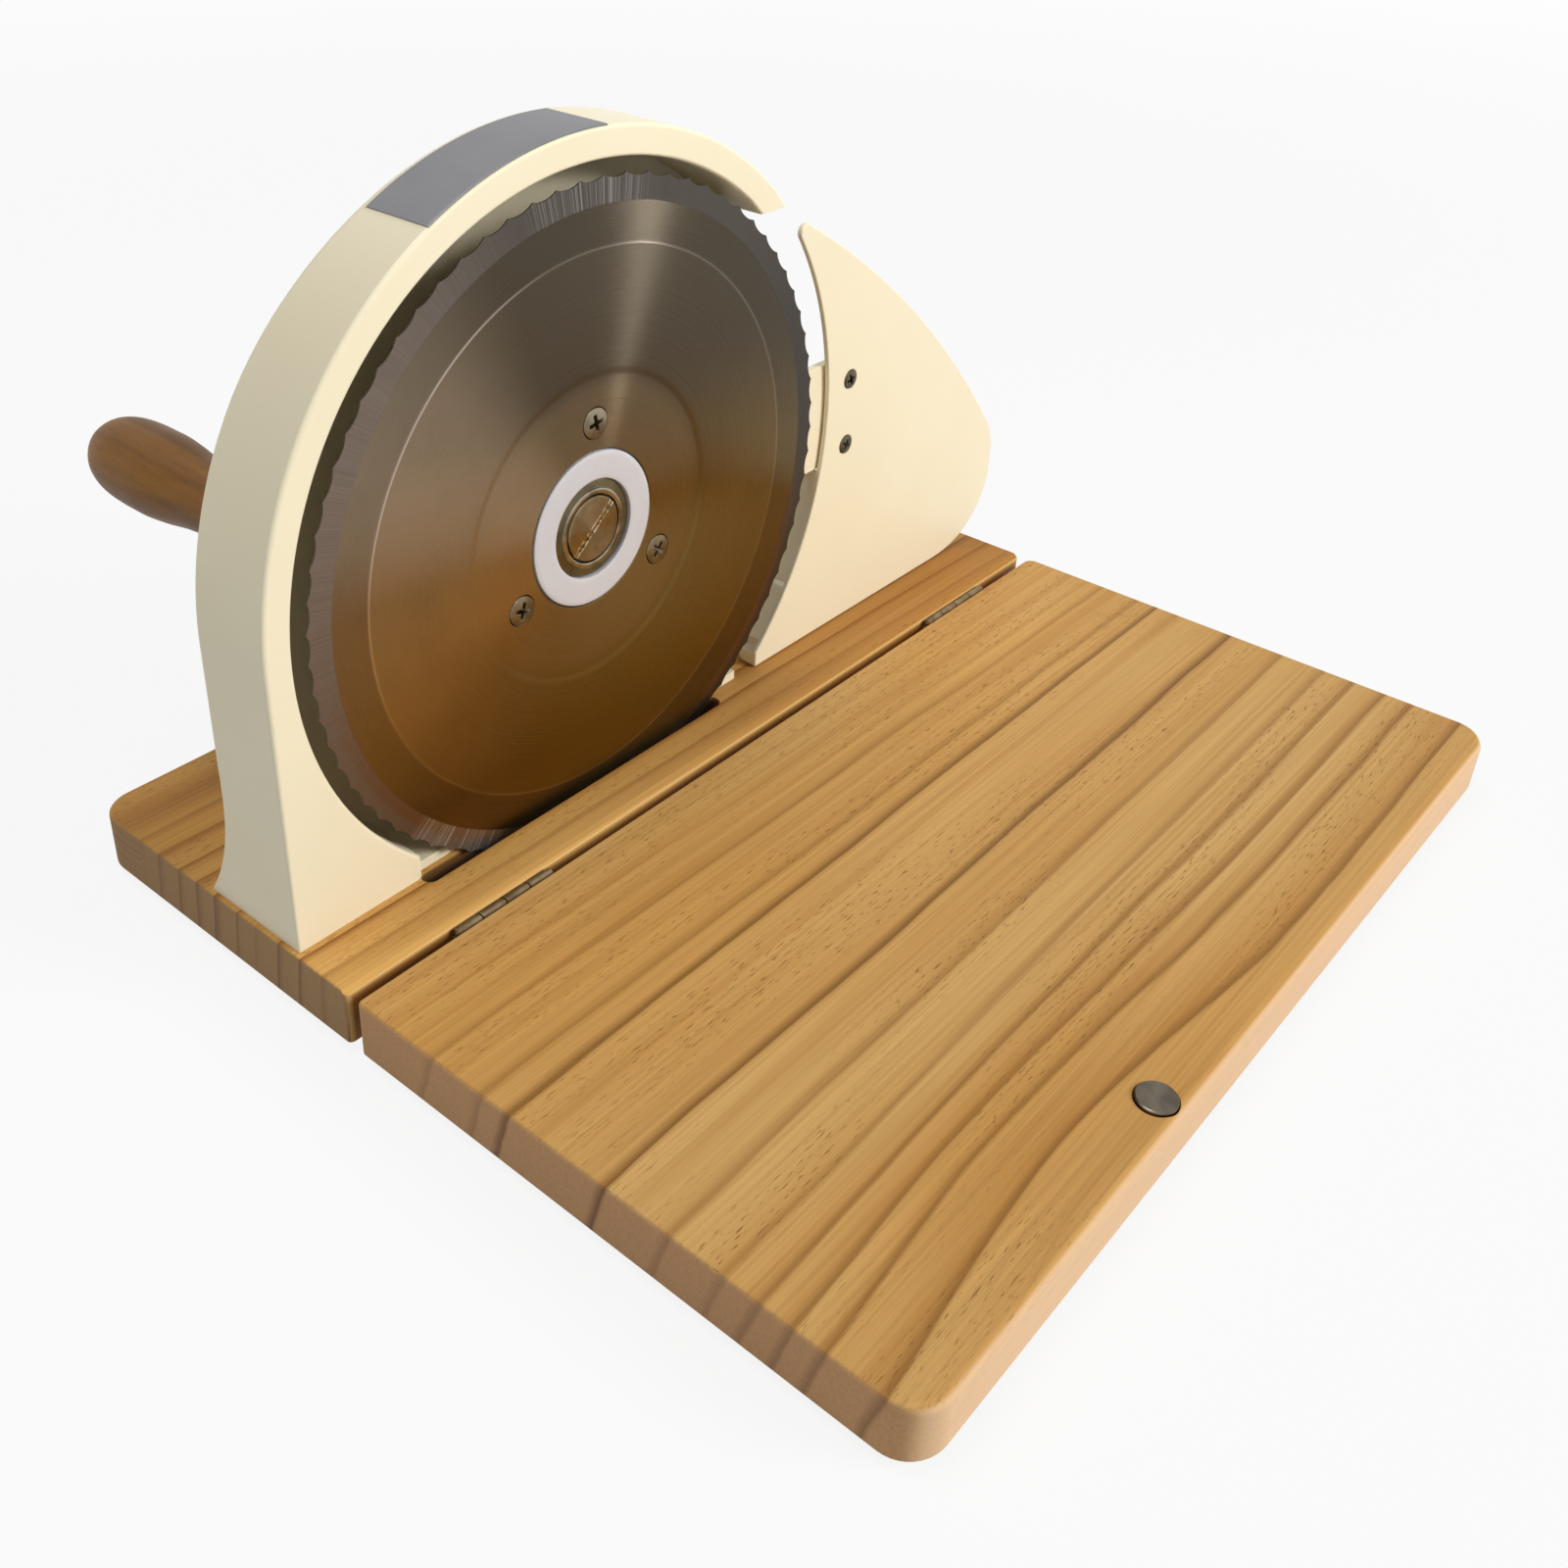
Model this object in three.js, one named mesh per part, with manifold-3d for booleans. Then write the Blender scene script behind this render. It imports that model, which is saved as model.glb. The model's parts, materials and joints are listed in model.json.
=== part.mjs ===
// Hand-cranked bread slicer: a serrated disc blade in an arched guard, standing on a wooden base,
// with a folding wooden feed board in front and a sliding thickness plate beside the blade.
// Millimetres, +X along the hinge line, +Y from the feed board to the crank, +Z up.

import * as THREE from 'three';
import { mergeVertices } from 'three/addons/utils/BufferGeometryUtils.js';
import Module from 'manifold-3d';

const wasm = await Module();
wasm.setup();

// Clearances
const GAP = 0.3;
const RUNNING_GAP = 0.4;

// Boards
const BOARD_LENGTH = 312;
const BOARD_THICKNESS = 17;
const FEED_DEPTH = 166;
const BASE_DEPTH = 111;
const BOARD_CORNER_RADIUS = 10;
const HINGE_GAP = 4;

// Rubber feet
const FOOT_RADIUS = 8;
const FOOT_HEIGHT = 3.2;
const FOOT_INSET = 17;

// Blade
const BLADE_RADIUS = 95;
const BLADE_DIP = 15;
const BLADE_EDGE_SETBACK = 19.9;
const BLADE_THICKNESS = 1.4;
const BLADE_EDGE_THICKNESS = 0.4;
const BLADE_DISH = 1.2;
const BEVEL_WIDTH = 7;
const RIDGE_RADIUS = 77.3;
const HUB_FLAT_RADIUS = 43;
const TOOTH_COUNT = 74;
const TOOTH_DEPTH = 1;

// Slot in the base that the blade dips into
const SLOT_FRONT_ROOM = 3.5;
const SLOT_BACK_ROOM = 1.9;
const SLOT_LEFT_ROOM = 15.6;
const SLOT_RIGHT_ROOM = 2.6;

// Nylon gear behind the blade, and the pinion that drives it
const GEAR_MODULE = 1.5;
const GEAR_TEETH = 50;
const PINION_TEETH = 25;
const GEAR_FACE_WIDTH = 10;
const PRESSURE_ANGLE = THREE.MathUtils.degToRad(20);
const TOOTH_THINNING = 0.3;
const BOSS_RADIUS = 22.3;
const BOSS_PROUD = 0.5;
const COUNTERBORE_RADIUS = 14.3;
const COUNTERBORE_DEPTH = 4.5;
const BLADE_SCREW_CIRCLE = 30.5;
const BLADE_SCREW_ANGLES = [88, -32, -152];

// Axle that carries the gear, with its retaining washer and slotted screw
const JOURNAL_RADIUS = 9.7;
const AXLE_TAIL_RADIUS = 6;
const LIP_OUTER_RADIUS = 11.5;
const LIP_WALL = 1.5;
const LIP_HEIGHT = 0.6;
const SCREW_SLOT_WIDTH = 1.6;
const SCREW_SLOT_DEPTH = 1.1;
const SCREW_SLOT_ANGLE = 40;
const AXLE_SCREW_SHANK_RADIUS = 4.5;
const AXLE_SCREW_SHANK_LENGTH = 11;

// Arched guard
const BLADE_CLEARANCE = 3.5;
const RIM_WALL = 8;
const RIM_DEPTH = 25.4;
const RIM_SETBACK = 0.1;
const GUARD_INSET = 1.5;
const GUARD_END_RISE = 72.3;
const FOOT_TOE = 42;
const BACK_WALL = 4;
const FLOOR_WALL = 3;
const EDGE_LIP_WALL = 3;
const EDGE_LIP_DEPTH = 10;
const FLARE_HEIGHT = 45;
const FLARE_DEPTH = 12.2;
const AXLE_BOSS_RADIUS = 15;
const AXLE_BOSS_HEIGHT = 4.3;
const CRANK_BOSS_RADIUS = 13;
const CRANK_BOSS_REACH = 6.7;

// Bare plate on top of the rim
const PLATE_THICKNESS = 0.5;
const PLATE_START_ANGLE = 86.5;
const PLATE_END_ANGLE = 118.5;
const PLATE_MARGIN = 0.5;

// Crank
const CRANK_LENGTH = 84.3;
const CRANK_ANGLE = -146.3;
const SHAFT_RADIUS = 5;
const BUSH_WALL = 2.7;
const BUSH_FLANGE_RADIUS = 11;
const BUSH_FLANGE_THICKNESS = 0.9;
const ARM_HALF_WIDTH = 8.5;
const ARM_THICKNESS = 4;
const SHAFT_NUT_RADIUS = 8.5;
const SHAFT_NUT_THICKNESS = 5;
const AXLE_NUT_RADIUS = 10;
const AXLE_NUT_THICKNESS = 4.5;

// Wooden grip on its pin, radius at each place along its length from the crank arm
const GRIP_LENGTH = 81.5;
const GRIP_PROFILE = [
  [0, 7.2],
  [0.03, 8],
  [0.22, 8.4],
  [0.44, 9.8],
  [0.56, 11.3],
  [0.66, 12.1],
  [0.76, 12.1],
  [0.85, 11.6],
  [0.92, 10.2],
  [0.965, 8.2],
  [0.99, 6.6],
  [1, 5.8],
];
const PIN_RADIUS = 3;
const PIN_HEAD_RADIUS = 4.8;
const PIN_HEAD_THICKNESS = 2.6;
const PIN_HEAD_RECESS = 1.6;

// Thickness plate
const FENCE_GAP = 11.5;
const FENCE_THICKNESS = 1.8;
const FENCE_SETBACK = 1.6;
const FENCE_TIP_ANGLE = 34.2;
const FENCE_TIP_RADIUS = 2.6;
const FENCE_TOE_HEIGHT = 5.4;
const FENCE_OVERHANG = 7.4;
const FENCE_SHOULDER_HEIGHT = 46.8;
const FENCE_SHOULDER_INSET = 5.5;
const FENCE_CROWN = 13.6;
const FENCE_HEEL_LENGTH = 33;
const FENCE_FLOOR_GAP = 0.4;
const NOSE_LENGTH = 11;
const NOSE_DEPTH = 8;
const NOSE_HEIGHT = 5;
const FENCE_SCREW_INSET = 11;
const FENCE_SCREW_SPACING = 22.4;
const FENCE_SCREW_DROP = 2.9;
const FLANGE_DEPTH = 9;
const FLANGE_WALL = 1.8;
const FLANGE_LOW = 8.6;
const FLANGE_SLIT_HEIGHT = 24;
const FLANGE_SLIT_WIDTH = 1.2;

// Carriage behind the plate, and the pedestal that guides it
const SLIDE_TRAVEL = 16;
const CARRIAGE_LEFT = 23.5;
const CARRIAGE_RIGHT = 14.5;
const CARRIAGE_DEPTH = 16;
const CARRIAGE_PLATE = 3;
const CARRIAGE_HEIGHT = 35.2;
const BAR_WIDTH = 19;
const BAR_HEIGHT = 17.5;
const PEDESTAL_REACH = 38;
const PEDESTAL_CHEEK = 8.7;
const PEDESTAL_HEAD = 10;
const PEDESTAL_FOOT_THICKNESS = 6;
const PEDESTAL_COLUMN_WIDTH = 25;
const PEDESTAL_COLUMN_SETBACK = 4;
const PEDESTAL_TOE = 15;
const STUD_RADIUS = 3;
const KNOB_RADIUS = 12;
const KNOB_LENGTH = 13;
const KNOB_LOBES = 10;
const KNOB_FLUTE_RADIUS = 2;

// Hinges
const HINGE_LENGTH = 34;
const HINGE_LEFT_X = 51;
const HINGE_RIGHT_X = 265.5;
const KNUCKLE_COUNT = 4;
const KNUCKLE_RADIUS = 1.4;
const KNUCKLE_GAP = 0.9;
const HINGE_PIN_RADIUS = 0.7;
const HINGE_PIN_DEPTH = 1.6;
const LEAF_THICKNESS = 1.2;
const LEAF_DROP = 12;
const HINGE_SCREW_SPACING = 20;

// Magnet disc in the feed board
const MAGNET_RADIUS = 5.2;
const MAGNET_THICKNESS = 4;
const MAGNET_PROUD = 0.8;
const MAGNET_X = 103.6;
const MAGNET_EDGE_DISTANCE = 6.7;

// Countersunk screws: head radius, head depth, shank radius, whole length
const BLADE_SCREW = { head: 4.3, depth: 2.2, shank: 2, length: 9.5 };
const FENCE_SCREW = { head: 3.05, depth: 1.4, shank: 1.5, length: 5 };
const HINGE_SCREW = { head: 2.3, depth: 1, shank: 1.2, length: 11 };
const BASE_SCREW = { head: 4.4, depth: 2.4, shank: 2.2, length: 28 };

// Facets on round surfaces
const FINE = 36;
const ROUND = 24;
const SMALL = 12;
const TINY = 8;

// Colours
const CREAM = { color: 0xf6ead0, roughness: 0.45, metalness: 0 };
const PINE = { color: 0xc9a063, roughness: 0.55, metalness: 0 };
const DARK_WOOD = { color: 0x74502e, roughness: 0.5, metalness: 0 };
const STEEL = { color: 0xa9a49c, roughness: 0.32, metalness: 1 };
const BLADE_STEEL = { color: 0x8f877c, roughness: 0.28, metalness: 1 };
const NYLON = { color: 0xe8e6ea, roughness: 0.4, metalness: 0 };
const LABEL_GREY = { color: 0x8d8d8f, roughness: 0.6, metalness: 0.1 };
const RUBBER = { color: 0x1c1c1c, roughness: 0.9, metalness: 0 };
const BRASS = { color: 0xb89a55, roughness: 0.4, metalness: 1 };
const KNOB_PLASTIC = { color: 0x2b2a28, roughness: 0.5, metalness: 0 };

// Places that follow from the sizes. Working zero: left end of the boards, hinge edge of the
// feed board, top of the base.
const baseFront = HINGE_GAP;
const baseBack = HINGE_GAP + BASE_DEPTH;
const guardInner = BLADE_RADIUS + BLADE_CLEARANCE;
const guardOuter = guardInner + RIM_WALL;
const axisX = GUARD_INSET + guardOuter;
const axisZ = BLADE_RADIUS - BLADE_DIP;
const bladeEdgeY = baseFront + BLADE_EDGE_SETBACK;
const guardFront = bladeEdgeY + RIM_SETBACK;
const guardBack = guardFront + RIM_DEPTH;
const bladeHubFront = bladeEdgeY - BLADE_EDGE_THICKNESS - BLADE_DISH / 2 + BLADE_DISH;
const bladeHubBack = bladeHubFront + BLADE_THICKNESS;
const gearFront = bladeHubBack + GAP;
const gearBack = gearFront + GEAR_FACE_WIDTH;
const bossFront = bladeHubFront - BOSS_PROUD;
const axleBossFront = guardBack - BACK_WALL - AXLE_BOSS_HEIGHT;
const gearHubBack = axleBossFront - RUNNING_GAP;
const counterboreFloor = bossFront + COUNTERBORE_DEPTH;
const pinionFront = gearFront + 1;
const pinionRise = GEAR_MODULE * (GEAR_TEETH + PINION_TEETH) / 2;
const crankZ = axisZ + pinionRise;
const crankBossBack = guardBack + CRANK_BOSS_REACH;
const bushBack = crankBossBack + GAP + BUSH_FLANGE_THICKNESS;
const armFront = bushBack + RUNNING_GAP;
const armBack = armFront + ARM_THICKNESS;
const crankTurn = THREE.MathUtils.degToRad(CRANK_ANGLE);
const gripX = axisX + CRANK_LENGTH * Math.cos(crankTurn);
const gripZ = crankZ + CRANK_LENGTH * Math.sin(crankTurn);
const gripFront = armBack + RUNNING_GAP;
const gripBack = gripFront + GRIP_LENGTH;
const fenceFront = guardFront + FENCE_SETBACK;
const fenceBack = fenceFront + FENCE_THICKNESS;
const fenceRadius = BLADE_RADIUS + FENCE_GAP;
const fenceEndX = BOARD_LENGTH + FENCE_OVERHANG;
const fenceScrewX = axisX + fenceRadius + FENCE_SCREW_INSET;
const fenceScrewZ = axisZ - FENCE_SCREW_DROP;
const carriageFront = fenceBack + GAP;
const carriageBack = carriageFront + CARRIAGE_DEPTH;
const carriageLow = fenceScrewZ + 1 - CARRIAGE_HEIGHT / 2;
const carriageHigh = carriageLow + CARRIAGE_HEIGHT;
const cheekFront = carriageBack + SLIDE_TRAVEL + 1.2;
const cheekBack = cheekFront + PEDESTAL_REACH;
const barX = fenceScrewX - 4;
const barBack = cheekBack + 4;
const barHigh = carriageLow + BAR_HEIGHT;
const studY = cheekFront + PEDESTAL_REACH / 2;
const studZ = carriageLow + BAR_HEIGHT / 2;
const cheekInner = BAR_WIDTH / 2 + GAP;
const cheekOuter = cheekInner + PEDESTAL_CHEEK;
const pedestalToe = cheekFront - PEDESTAL_TOE;
const hingeY = HINGE_GAP / 2;
const hingeZ = -HINGE_PIN_DEPTH;
const boardUnderside = -BOARD_THICKNESS;
const floorZ = boardUnderside - GAP - FOOT_HEIGHT;

// Joins and cuts of closed bodies

function solidOf(geometry) {
  const bare = geometry.clone();
  bare.deleteAttribute('normal');
  bare.deleteAttribute('uv');
  const merged = mergeVertices(bare, 1e-4);
  const corner = merged.getIndex().array;
  const triangles = [];
  for (let i = 0; i < corner.length; i += 3) {
    const [a, b, c] = [corner[i], corner[i + 1], corner[i + 2]];
    if (a !== b && b !== c && c !== a) {
      triangles.push(a, b, c);
    }
  }
  const mesh = new wasm.Mesh({
    numProp: 3,
    vertProperties: new Float32Array(merged.getAttribute('position').array),
    triVerts: new Uint32Array(triangles),
  });
  return new wasm.Manifold(mesh);
}

function geometryOf(solid) {
  const mesh = solid.getMesh();
  const geometry = new THREE.BufferGeometry();
  geometry.setAttribute('position', new THREE.BufferAttribute(mesh.vertProperties, 3));
  geometry.setIndex(new THREE.BufferAttribute(mesh.triVerts, 1));
  geometry.computeVertexNormals();
  return geometry;
}

function cut(geometry, ...tools) {
  let body = solidOf(geometry);
  for (const tool of tools) {
    body = body.subtract(solidOf(tool));
  }
  return geometryOf(body);
}

function join(geometry, ...others) {
  let body = solidOf(geometry);
  for (const other of others) {
    body = body.add(solidOf(other));
  }
  return geometryOf(body);
}

function common(geometry, other) {
  return geometryOf(solidOf(geometry).intersect(solidOf(other)));
}

// Shapes

function point(x, y) {
  return new THREE.Vector2(x, y);
}

function arc(x, y, radius, startDegrees, endDegrees, steps) {
  const points = [];
  for (let i = 0; i <= steps; i += 1) {
    const angle = THREE.MathUtils.degToRad(startDegrees + (endDegrees - startDegrees) * i / steps);
    points.push(point(x + radius * Math.cos(angle), y + radius * Math.sin(angle)));
  }
  return points;
}

function circleHole(x, y, radius, steps) {
  return new THREE.Path(arc(x, y, radius, 0, -360, steps).slice(0, -1));
}

// Turns a profile of [radius, place along the axis] pairs about the Y axis
function turned(profile, steps) {
  return new THREE.LatheGeometry(profile.map(([r, y]) => point(r, y)), steps);
}

// Solid round bar from one place on the Y axis to another
function bar(radius, from, to, steps) {
  return turned([[0, from], [radius, from], [radius, to], [0, to]], steps);
}

// Tube from one place on the Y axis to another
function tube(inner, outer, from, to, steps) {
  return turned([[inner, from], [outer, from], [outer, to], [inner, to], [inner, from]], steps);
}

// Upright slab: the shape is drawn in X and Z, and thickened from front to back
function slab(shape, front, back) {
  const geometry = new THREE.ExtrudeGeometry(shape, { depth: back - front, bevelEnabled: false });
  return geometry.rotateX(Math.PI / 2).translate(0, back, 0);
}

// Lying board: the shape is drawn in X and Y, and thickened upwards
function board(shape, low, high) {
  const geometry = new THREE.ExtrudeGeometry(shape, { depth: high - low, bevelEnabled: false });
  return geometry.translate(0, 0, low);
}

// Piece of one section all along X: the shape is drawn in Y and Z
function rail(shape, left, right) {
  const geometry = new THREE.ExtrudeGeometry(shape, { depth: right - left, bevelEnabled: false });
  return geometry.rotateZ(Math.PI / 2).rotateY(Math.PI / 2).translate(left, 0, 0);
}

function block(left, right, front, back, low, high) {
  const geometry = new THREE.BoxGeometry(right - left, back - front, high - low);
  return geometry.translate((left + right) / 2, (front + back) / 2, (low + high) / 2);
}

function alongX(geometry) {
  return geometry.rotateZ(-Math.PI / 2);
}

function alongZ(geometry) {
  return geometry.rotateX(Math.PI / 2);
}

// Countersunk screw with its head at zero and its shank along +Y
function screw(size, steps, grow = 0) {
  const head = size.head + grow;
  const shank = size.shank + grow;
  const start = grow > 0 ? -4 : 0;
  return turned([
    [0, start],
    [head, start],
    [head, 0.3 + grow],
    [shank, size.depth + grow],
    [shank, size.length + grow],
    [0, size.length + grow],
  ], steps);
}

// Gear outline with involute flanks, one tooth standing at the given angle
function gearShape(teeth, phase) {
  const pitch = GEAR_MODULE * teeth / 2;
  const base = pitch * Math.cos(PRESSURE_ANGLE);
  const tip = pitch + GEAR_MODULE * 0.95;
  const root = pitch - GEAR_MODULE * 1.25;
  const involute = (angle) => Math.tan(angle) - angle;
  const halfAtPitch = Math.PI / (2 * teeth) - TOOTH_THINNING / (2 * pitch);
  const halfAt = (radius) => {
    const angle = Math.acos(Math.min(1, base / radius));
    return halfAtPitch + involute(PRESSURE_ANGLE) - involute(angle);
  };
  const flank = [root, pitch, tip];
  const points = [];
  for (let tooth = 0; tooth < teeth; tooth += 1) {
    const centre = phase + tooth * 2 * Math.PI / teeth;
    for (const radius of flank) {
      const angle = centre - halfAt(radius);
      points.push(point(radius * Math.cos(angle), radius * Math.sin(angle)));
    }
    for (const radius of [...flank].reverse()) {
      const angle = centre + halfAt(radius);
      points.push(point(radius * Math.cos(angle), radius * Math.sin(angle)));
    }
  }
  return new THREE.Shape(points);
}

// The whole slicer, standing on its feet with its box centred over the origin
const slicer = new THREE.Group();
const assembly = new THREE.Group();
slicer.add(assembly);
const boxLeft = 0;
const boxRight = fenceEndX;
const boxFront = -FEED_DEPTH;
const boxBack = gripBack;
assembly.position.set(-(boxLeft + boxRight) / 2, -(boxFront + boxBack) / 2, -floorZ);

function add(name, geometry, finish, x = 0, y = 0, z = 0) {
  const mesh = new THREE.Mesh(geometry, new THREE.MeshStandardMaterial(finish));
  mesh.name = name;
  mesh.position.set(x, y, z);
  assembly.add(mesh);
  return mesh;
}

// Screws that hold the guard and the pedestal, driven up through the base
const guardScrewPlaces = [
  [axisX - guardInner + 4, guardFront + 13.4],
  [axisX - guardInner + 22, guardBack + 2],
  [axisX + guardInner * 0.57, guardFront + 14.4],
];
const pedestalScrewPlaces = [
  [barX, cheekFront + PEDESTAL_REACH * 0.25],
  [barX, cheekFront + PEDESTAL_REACH * 0.75],
];
const baseScrewPlaces = [...guardScrewPlaces, ...pedestalScrewPlaces];

function baseScrewAt(x, y, grow) {
  return alongZ(screw(BASE_SCREW, SMALL, grow)).translate(x, y, boardUnderside);
}

const baseScrewHoles = baseScrewPlaces.map(([x, y]) => baseScrewAt(x, y, GAP));

// Hinge screws, one pair in each leaf
const hingeCentres = { left: HINGE_LEFT_X, right: HINGE_RIGHT_X };
const hingeScrewZ = hingeZ - KNUCKLE_RADIUS - LEAF_DROP * 0.48;
const feedLeafFace = GAP + LEAF_THICKNESS;
const baseLeafFace = HINGE_GAP - GAP - LEAF_THICKNESS;

function hingeScrewAt(side, x, grow) {
  const geometry = screw(HINGE_SCREW, TINY, grow);
  if (side === 'feed') {
    return geometry.rotateZ(Math.PI).translate(x, feedLeafFace, hingeScrewZ);
  }
  return geometry.translate(x, baseLeafFace, hingeScrewZ);
}

function hingeScrewXs(centre) {
  return [centre - HINGE_SCREW_SPACING / 2, centre + HINGE_SCREW_SPACING / 2];
}

const allHingeScrewXs = Object.values(hingeCentres).flatMap(hingeScrewXs);
const feedScrewHoles = allHingeScrewXs.map((x) => hingeScrewAt('feed', x, GAP));
const baseHingeHoles = allHingeScrewXs.map((x) => hingeScrewAt('base', x, GAP));

// Base board, with the slot that the blade dips into
const halfChord = Math.sqrt(BLADE_RADIUS ** 2 - axisZ ** 2);
const slotLeft = axisX - halfChord - SLOT_LEFT_ROOM;
const slotRight = axisX + halfChord + SLOT_RIGHT_ROOM;
const slotFront = bladeEdgeY - SLOT_FRONT_ROOM;
const slotBack = bladeEdgeY + SLOT_BACK_ROOM;
const slotRadius = (slotBack - slotFront) / 2;
const slotMiddle = (slotBack + slotFront) / 2;
const baseShape = new THREE.Shape([
  point(0, baseFront),
  point(BOARD_LENGTH, baseFront),
  ...arc(BOARD_LENGTH - BOARD_CORNER_RADIUS, baseBack - BOARD_CORNER_RADIUS, BOARD_CORNER_RADIUS, 0, 90, 8),
  ...arc(BOARD_CORNER_RADIUS, baseBack - BOARD_CORNER_RADIUS, BOARD_CORNER_RADIUS, 90, 180, 8),
]);
baseShape.holes.push(new THREE.Path([
  ...arc(slotLeft + slotRadius, slotMiddle, slotRadius, -90, -270, 8),
  ...arc(slotRight - slotRadius, slotMiddle, slotRadius, 90, -90, 8),
]));
const baseBody = board(baseShape, boardUnderside, 0);
add('base_board', cut(baseBody, ...baseScrewHoles, ...baseHingeHoles), PINE);

// Feed board, with the seat of the magnet
const magnetY = -FEED_DEPTH + MAGNET_EDGE_DISTANCE;
const cornerRight = BOARD_LENGTH - BOARD_CORNER_RADIUS;
const feedCornerY = BOARD_CORNER_RADIUS - FEED_DEPTH;
const feedShape = new THREE.Shape([
  ...arc(BOARD_CORNER_RADIUS, feedCornerY, BOARD_CORNER_RADIUS, 180, 270, 8),
  ...arc(cornerRight, feedCornerY, BOARD_CORNER_RADIUS, 270, 360, 8),
  point(BOARD_LENGTH, 0),
  point(0, 0),
]);
const magnetSeat = alongZ(bar(MAGNET_RADIUS + GAP, MAGNET_PROUD - MAGNET_THICKNESS - GAP, 4, ROUND));
magnetSeat.translate(MAGNET_X, magnetY, 0);
const feedBody = board(feedShape, boardUnderside, 0);
add('feed_board', cut(feedBody, magnetSeat, ...feedScrewHoles), PINE);
const magnetProfile = [
  [0, MAGNET_PROUD - MAGNET_THICKNESS],
  [MAGNET_RADIUS, MAGNET_PROUD - MAGNET_THICKNESS],
  [MAGNET_RADIUS, MAGNET_PROUD - 0.4],
  [MAGNET_RADIUS - 0.4, MAGNET_PROUD],
  [0, MAGNET_PROUD],
];
add('magnet', alongZ(turned(magnetProfile, ROUND)), STEEL, MAGNET_X, magnetY, 0);

// Rubber feet: four under the base, two under the front of the feed board
const footShape = alongZ(turned([
  [0, 0],
  [FOOT_RADIUS - 0.6, 0],
  [FOOT_RADIUS, 0.6],
  [FOOT_RADIUS, FOOT_HEIGHT],
  [0, FOOT_HEIGHT],
], SMALL));
const footLeft = FOOT_INSET;
const footRight = BOARD_LENGTH - FOOT_INSET;
const footPlaces = {
  foot_base_front_left: [footLeft, baseFront + FOOT_RADIUS + 2],
  foot_base_front_right: [footRight, baseFront + FOOT_RADIUS + 2],
  foot_base_back_left: [footLeft, baseBack - FOOT_INSET],
  foot_base_back_right: [footRight, baseBack - FOOT_INSET],
  foot_feed_left: [footLeft, FOOT_INSET - FEED_DEPTH],
  foot_feed_right: [footRight, FOOT_INSET - FEED_DEPTH],
};
for (const [name, [x, y]] of Object.entries(footPlaces)) {
  add(name, footShape, RUBBER, x, y, floorZ);
}

// Hinges: two leaves with interleaved knuckles on a pin, standing in the gap between the boards
function hingeLeaf(side, centre) {
  const left = centre - HINGE_LENGTH / 2;
  const pitch = HINGE_LENGTH / KNUCKLE_COUNT;
  const near = side === 'feed' ? GAP : baseLeafFace;
  const far = side === 'feed' ? feedLeafFace : HINGE_GAP - GAP;
  const first = side === 'feed' ? 0 : 1;
  const leafTop = hingeZ - KNUCKLE_RADIUS - RUNNING_GAP;
  let leaf = solidOf(block(left, left + HINGE_LENGTH, near, far, leafTop - LEAF_DROP, leafTop));
  for (let i = first; i < KNUCKLE_COUNT; i += 2) {
    const start = left + i * pitch + KNUCKLE_GAP / 2;
    const end = left + (i + 1) * pitch - KNUCKLE_GAP / 2;
    const web = block(start, end, near, far, leafTop - 1, hingeZ);
    const knuckle = alongX(bar(KNUCKLE_RADIUS, start, end, SMALL)).translate(0, hingeY, hingeZ);
    leaf = leaf.add(solidOf(web)).add(solidOf(knuckle));
  }
  const bore = alongX(bar(HINGE_PIN_RADIUS + GAP, left - 1, left + HINGE_LENGTH + 1, SMALL));
  leaf = leaf.subtract(solidOf(bore.translate(0, hingeY, hingeZ)));
  for (const x of hingeScrewXs(centre)) {
    leaf = leaf.subtract(solidOf(hingeScrewAt(side, x, GAP)));
  }
  return geometryOf(leaf);
}

for (const [place, centre] of Object.entries(hingeCentres)) {
  add(`hinge_leaf_feed_${place}`, hingeLeaf('feed', centre), STEEL);
  add(`hinge_leaf_base_${place}`, hingeLeaf('base', centre), STEEL);
  const pin = alongX(bar(HINGE_PIN_RADIUS, -HINGE_LENGTH / 2, HINGE_LENGTH / 2, SMALL));
  add(`hinge_pin_${place}`, pin, STEEL, centre, hingeY, hingeZ);
  hingeScrewXs(centre).forEach((x, i) => {
    add(`hinge_screw_feed_${place}_${i + 1}`, hingeScrewAt('feed', x, 0), STEEL);
    add(`hinge_screw_base_${place}_${i + 1}`, hingeScrewAt('base', x, 0), STEEL);
  });
}

// Arched guard: rim, back wall, floor, flared foot and bearing bosses in one piece
const endAngle = THREE.MathUtils.radToDeg(Math.asin(GUARD_END_RISE / guardOuter));
const innerEndAngle = THREE.MathUtils.radToDeg(Math.asin(GUARD_END_RISE / guardInner));
const toeAngle = 360 - THREE.MathUtils.radToDeg(Math.acos((FOOT_TOE - axisX) / guardInner));
const innerEndX = axisX + guardInner * Math.cos(THREE.MathUtils.degToRad(innerEndAngle));
const rimShape = new THREE.Shape([
  point(FOOT_TOE, GAP),
  point(GUARD_INSET, GAP),
  ...arc(axisX, axisZ, guardOuter, 180, endAngle, 44),
  ...arc(axisX, axisZ, guardInner, innerEndAngle, toeAngle, 56),
]);
const wallShape = new THREE.Shape([
  point(innerEndX, GAP),
  point(GUARD_INSET, GAP),
  ...arc(axisX, axisZ, guardOuter, 180, endAngle, 44),
  point(innerEndX, axisZ + GUARD_END_RISE),
]);
const flareShape = new THREE.Shape([
  point(guardBack - 2, GAP),
  point(guardBack + FLARE_DEPTH, GAP),
]);
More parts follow.
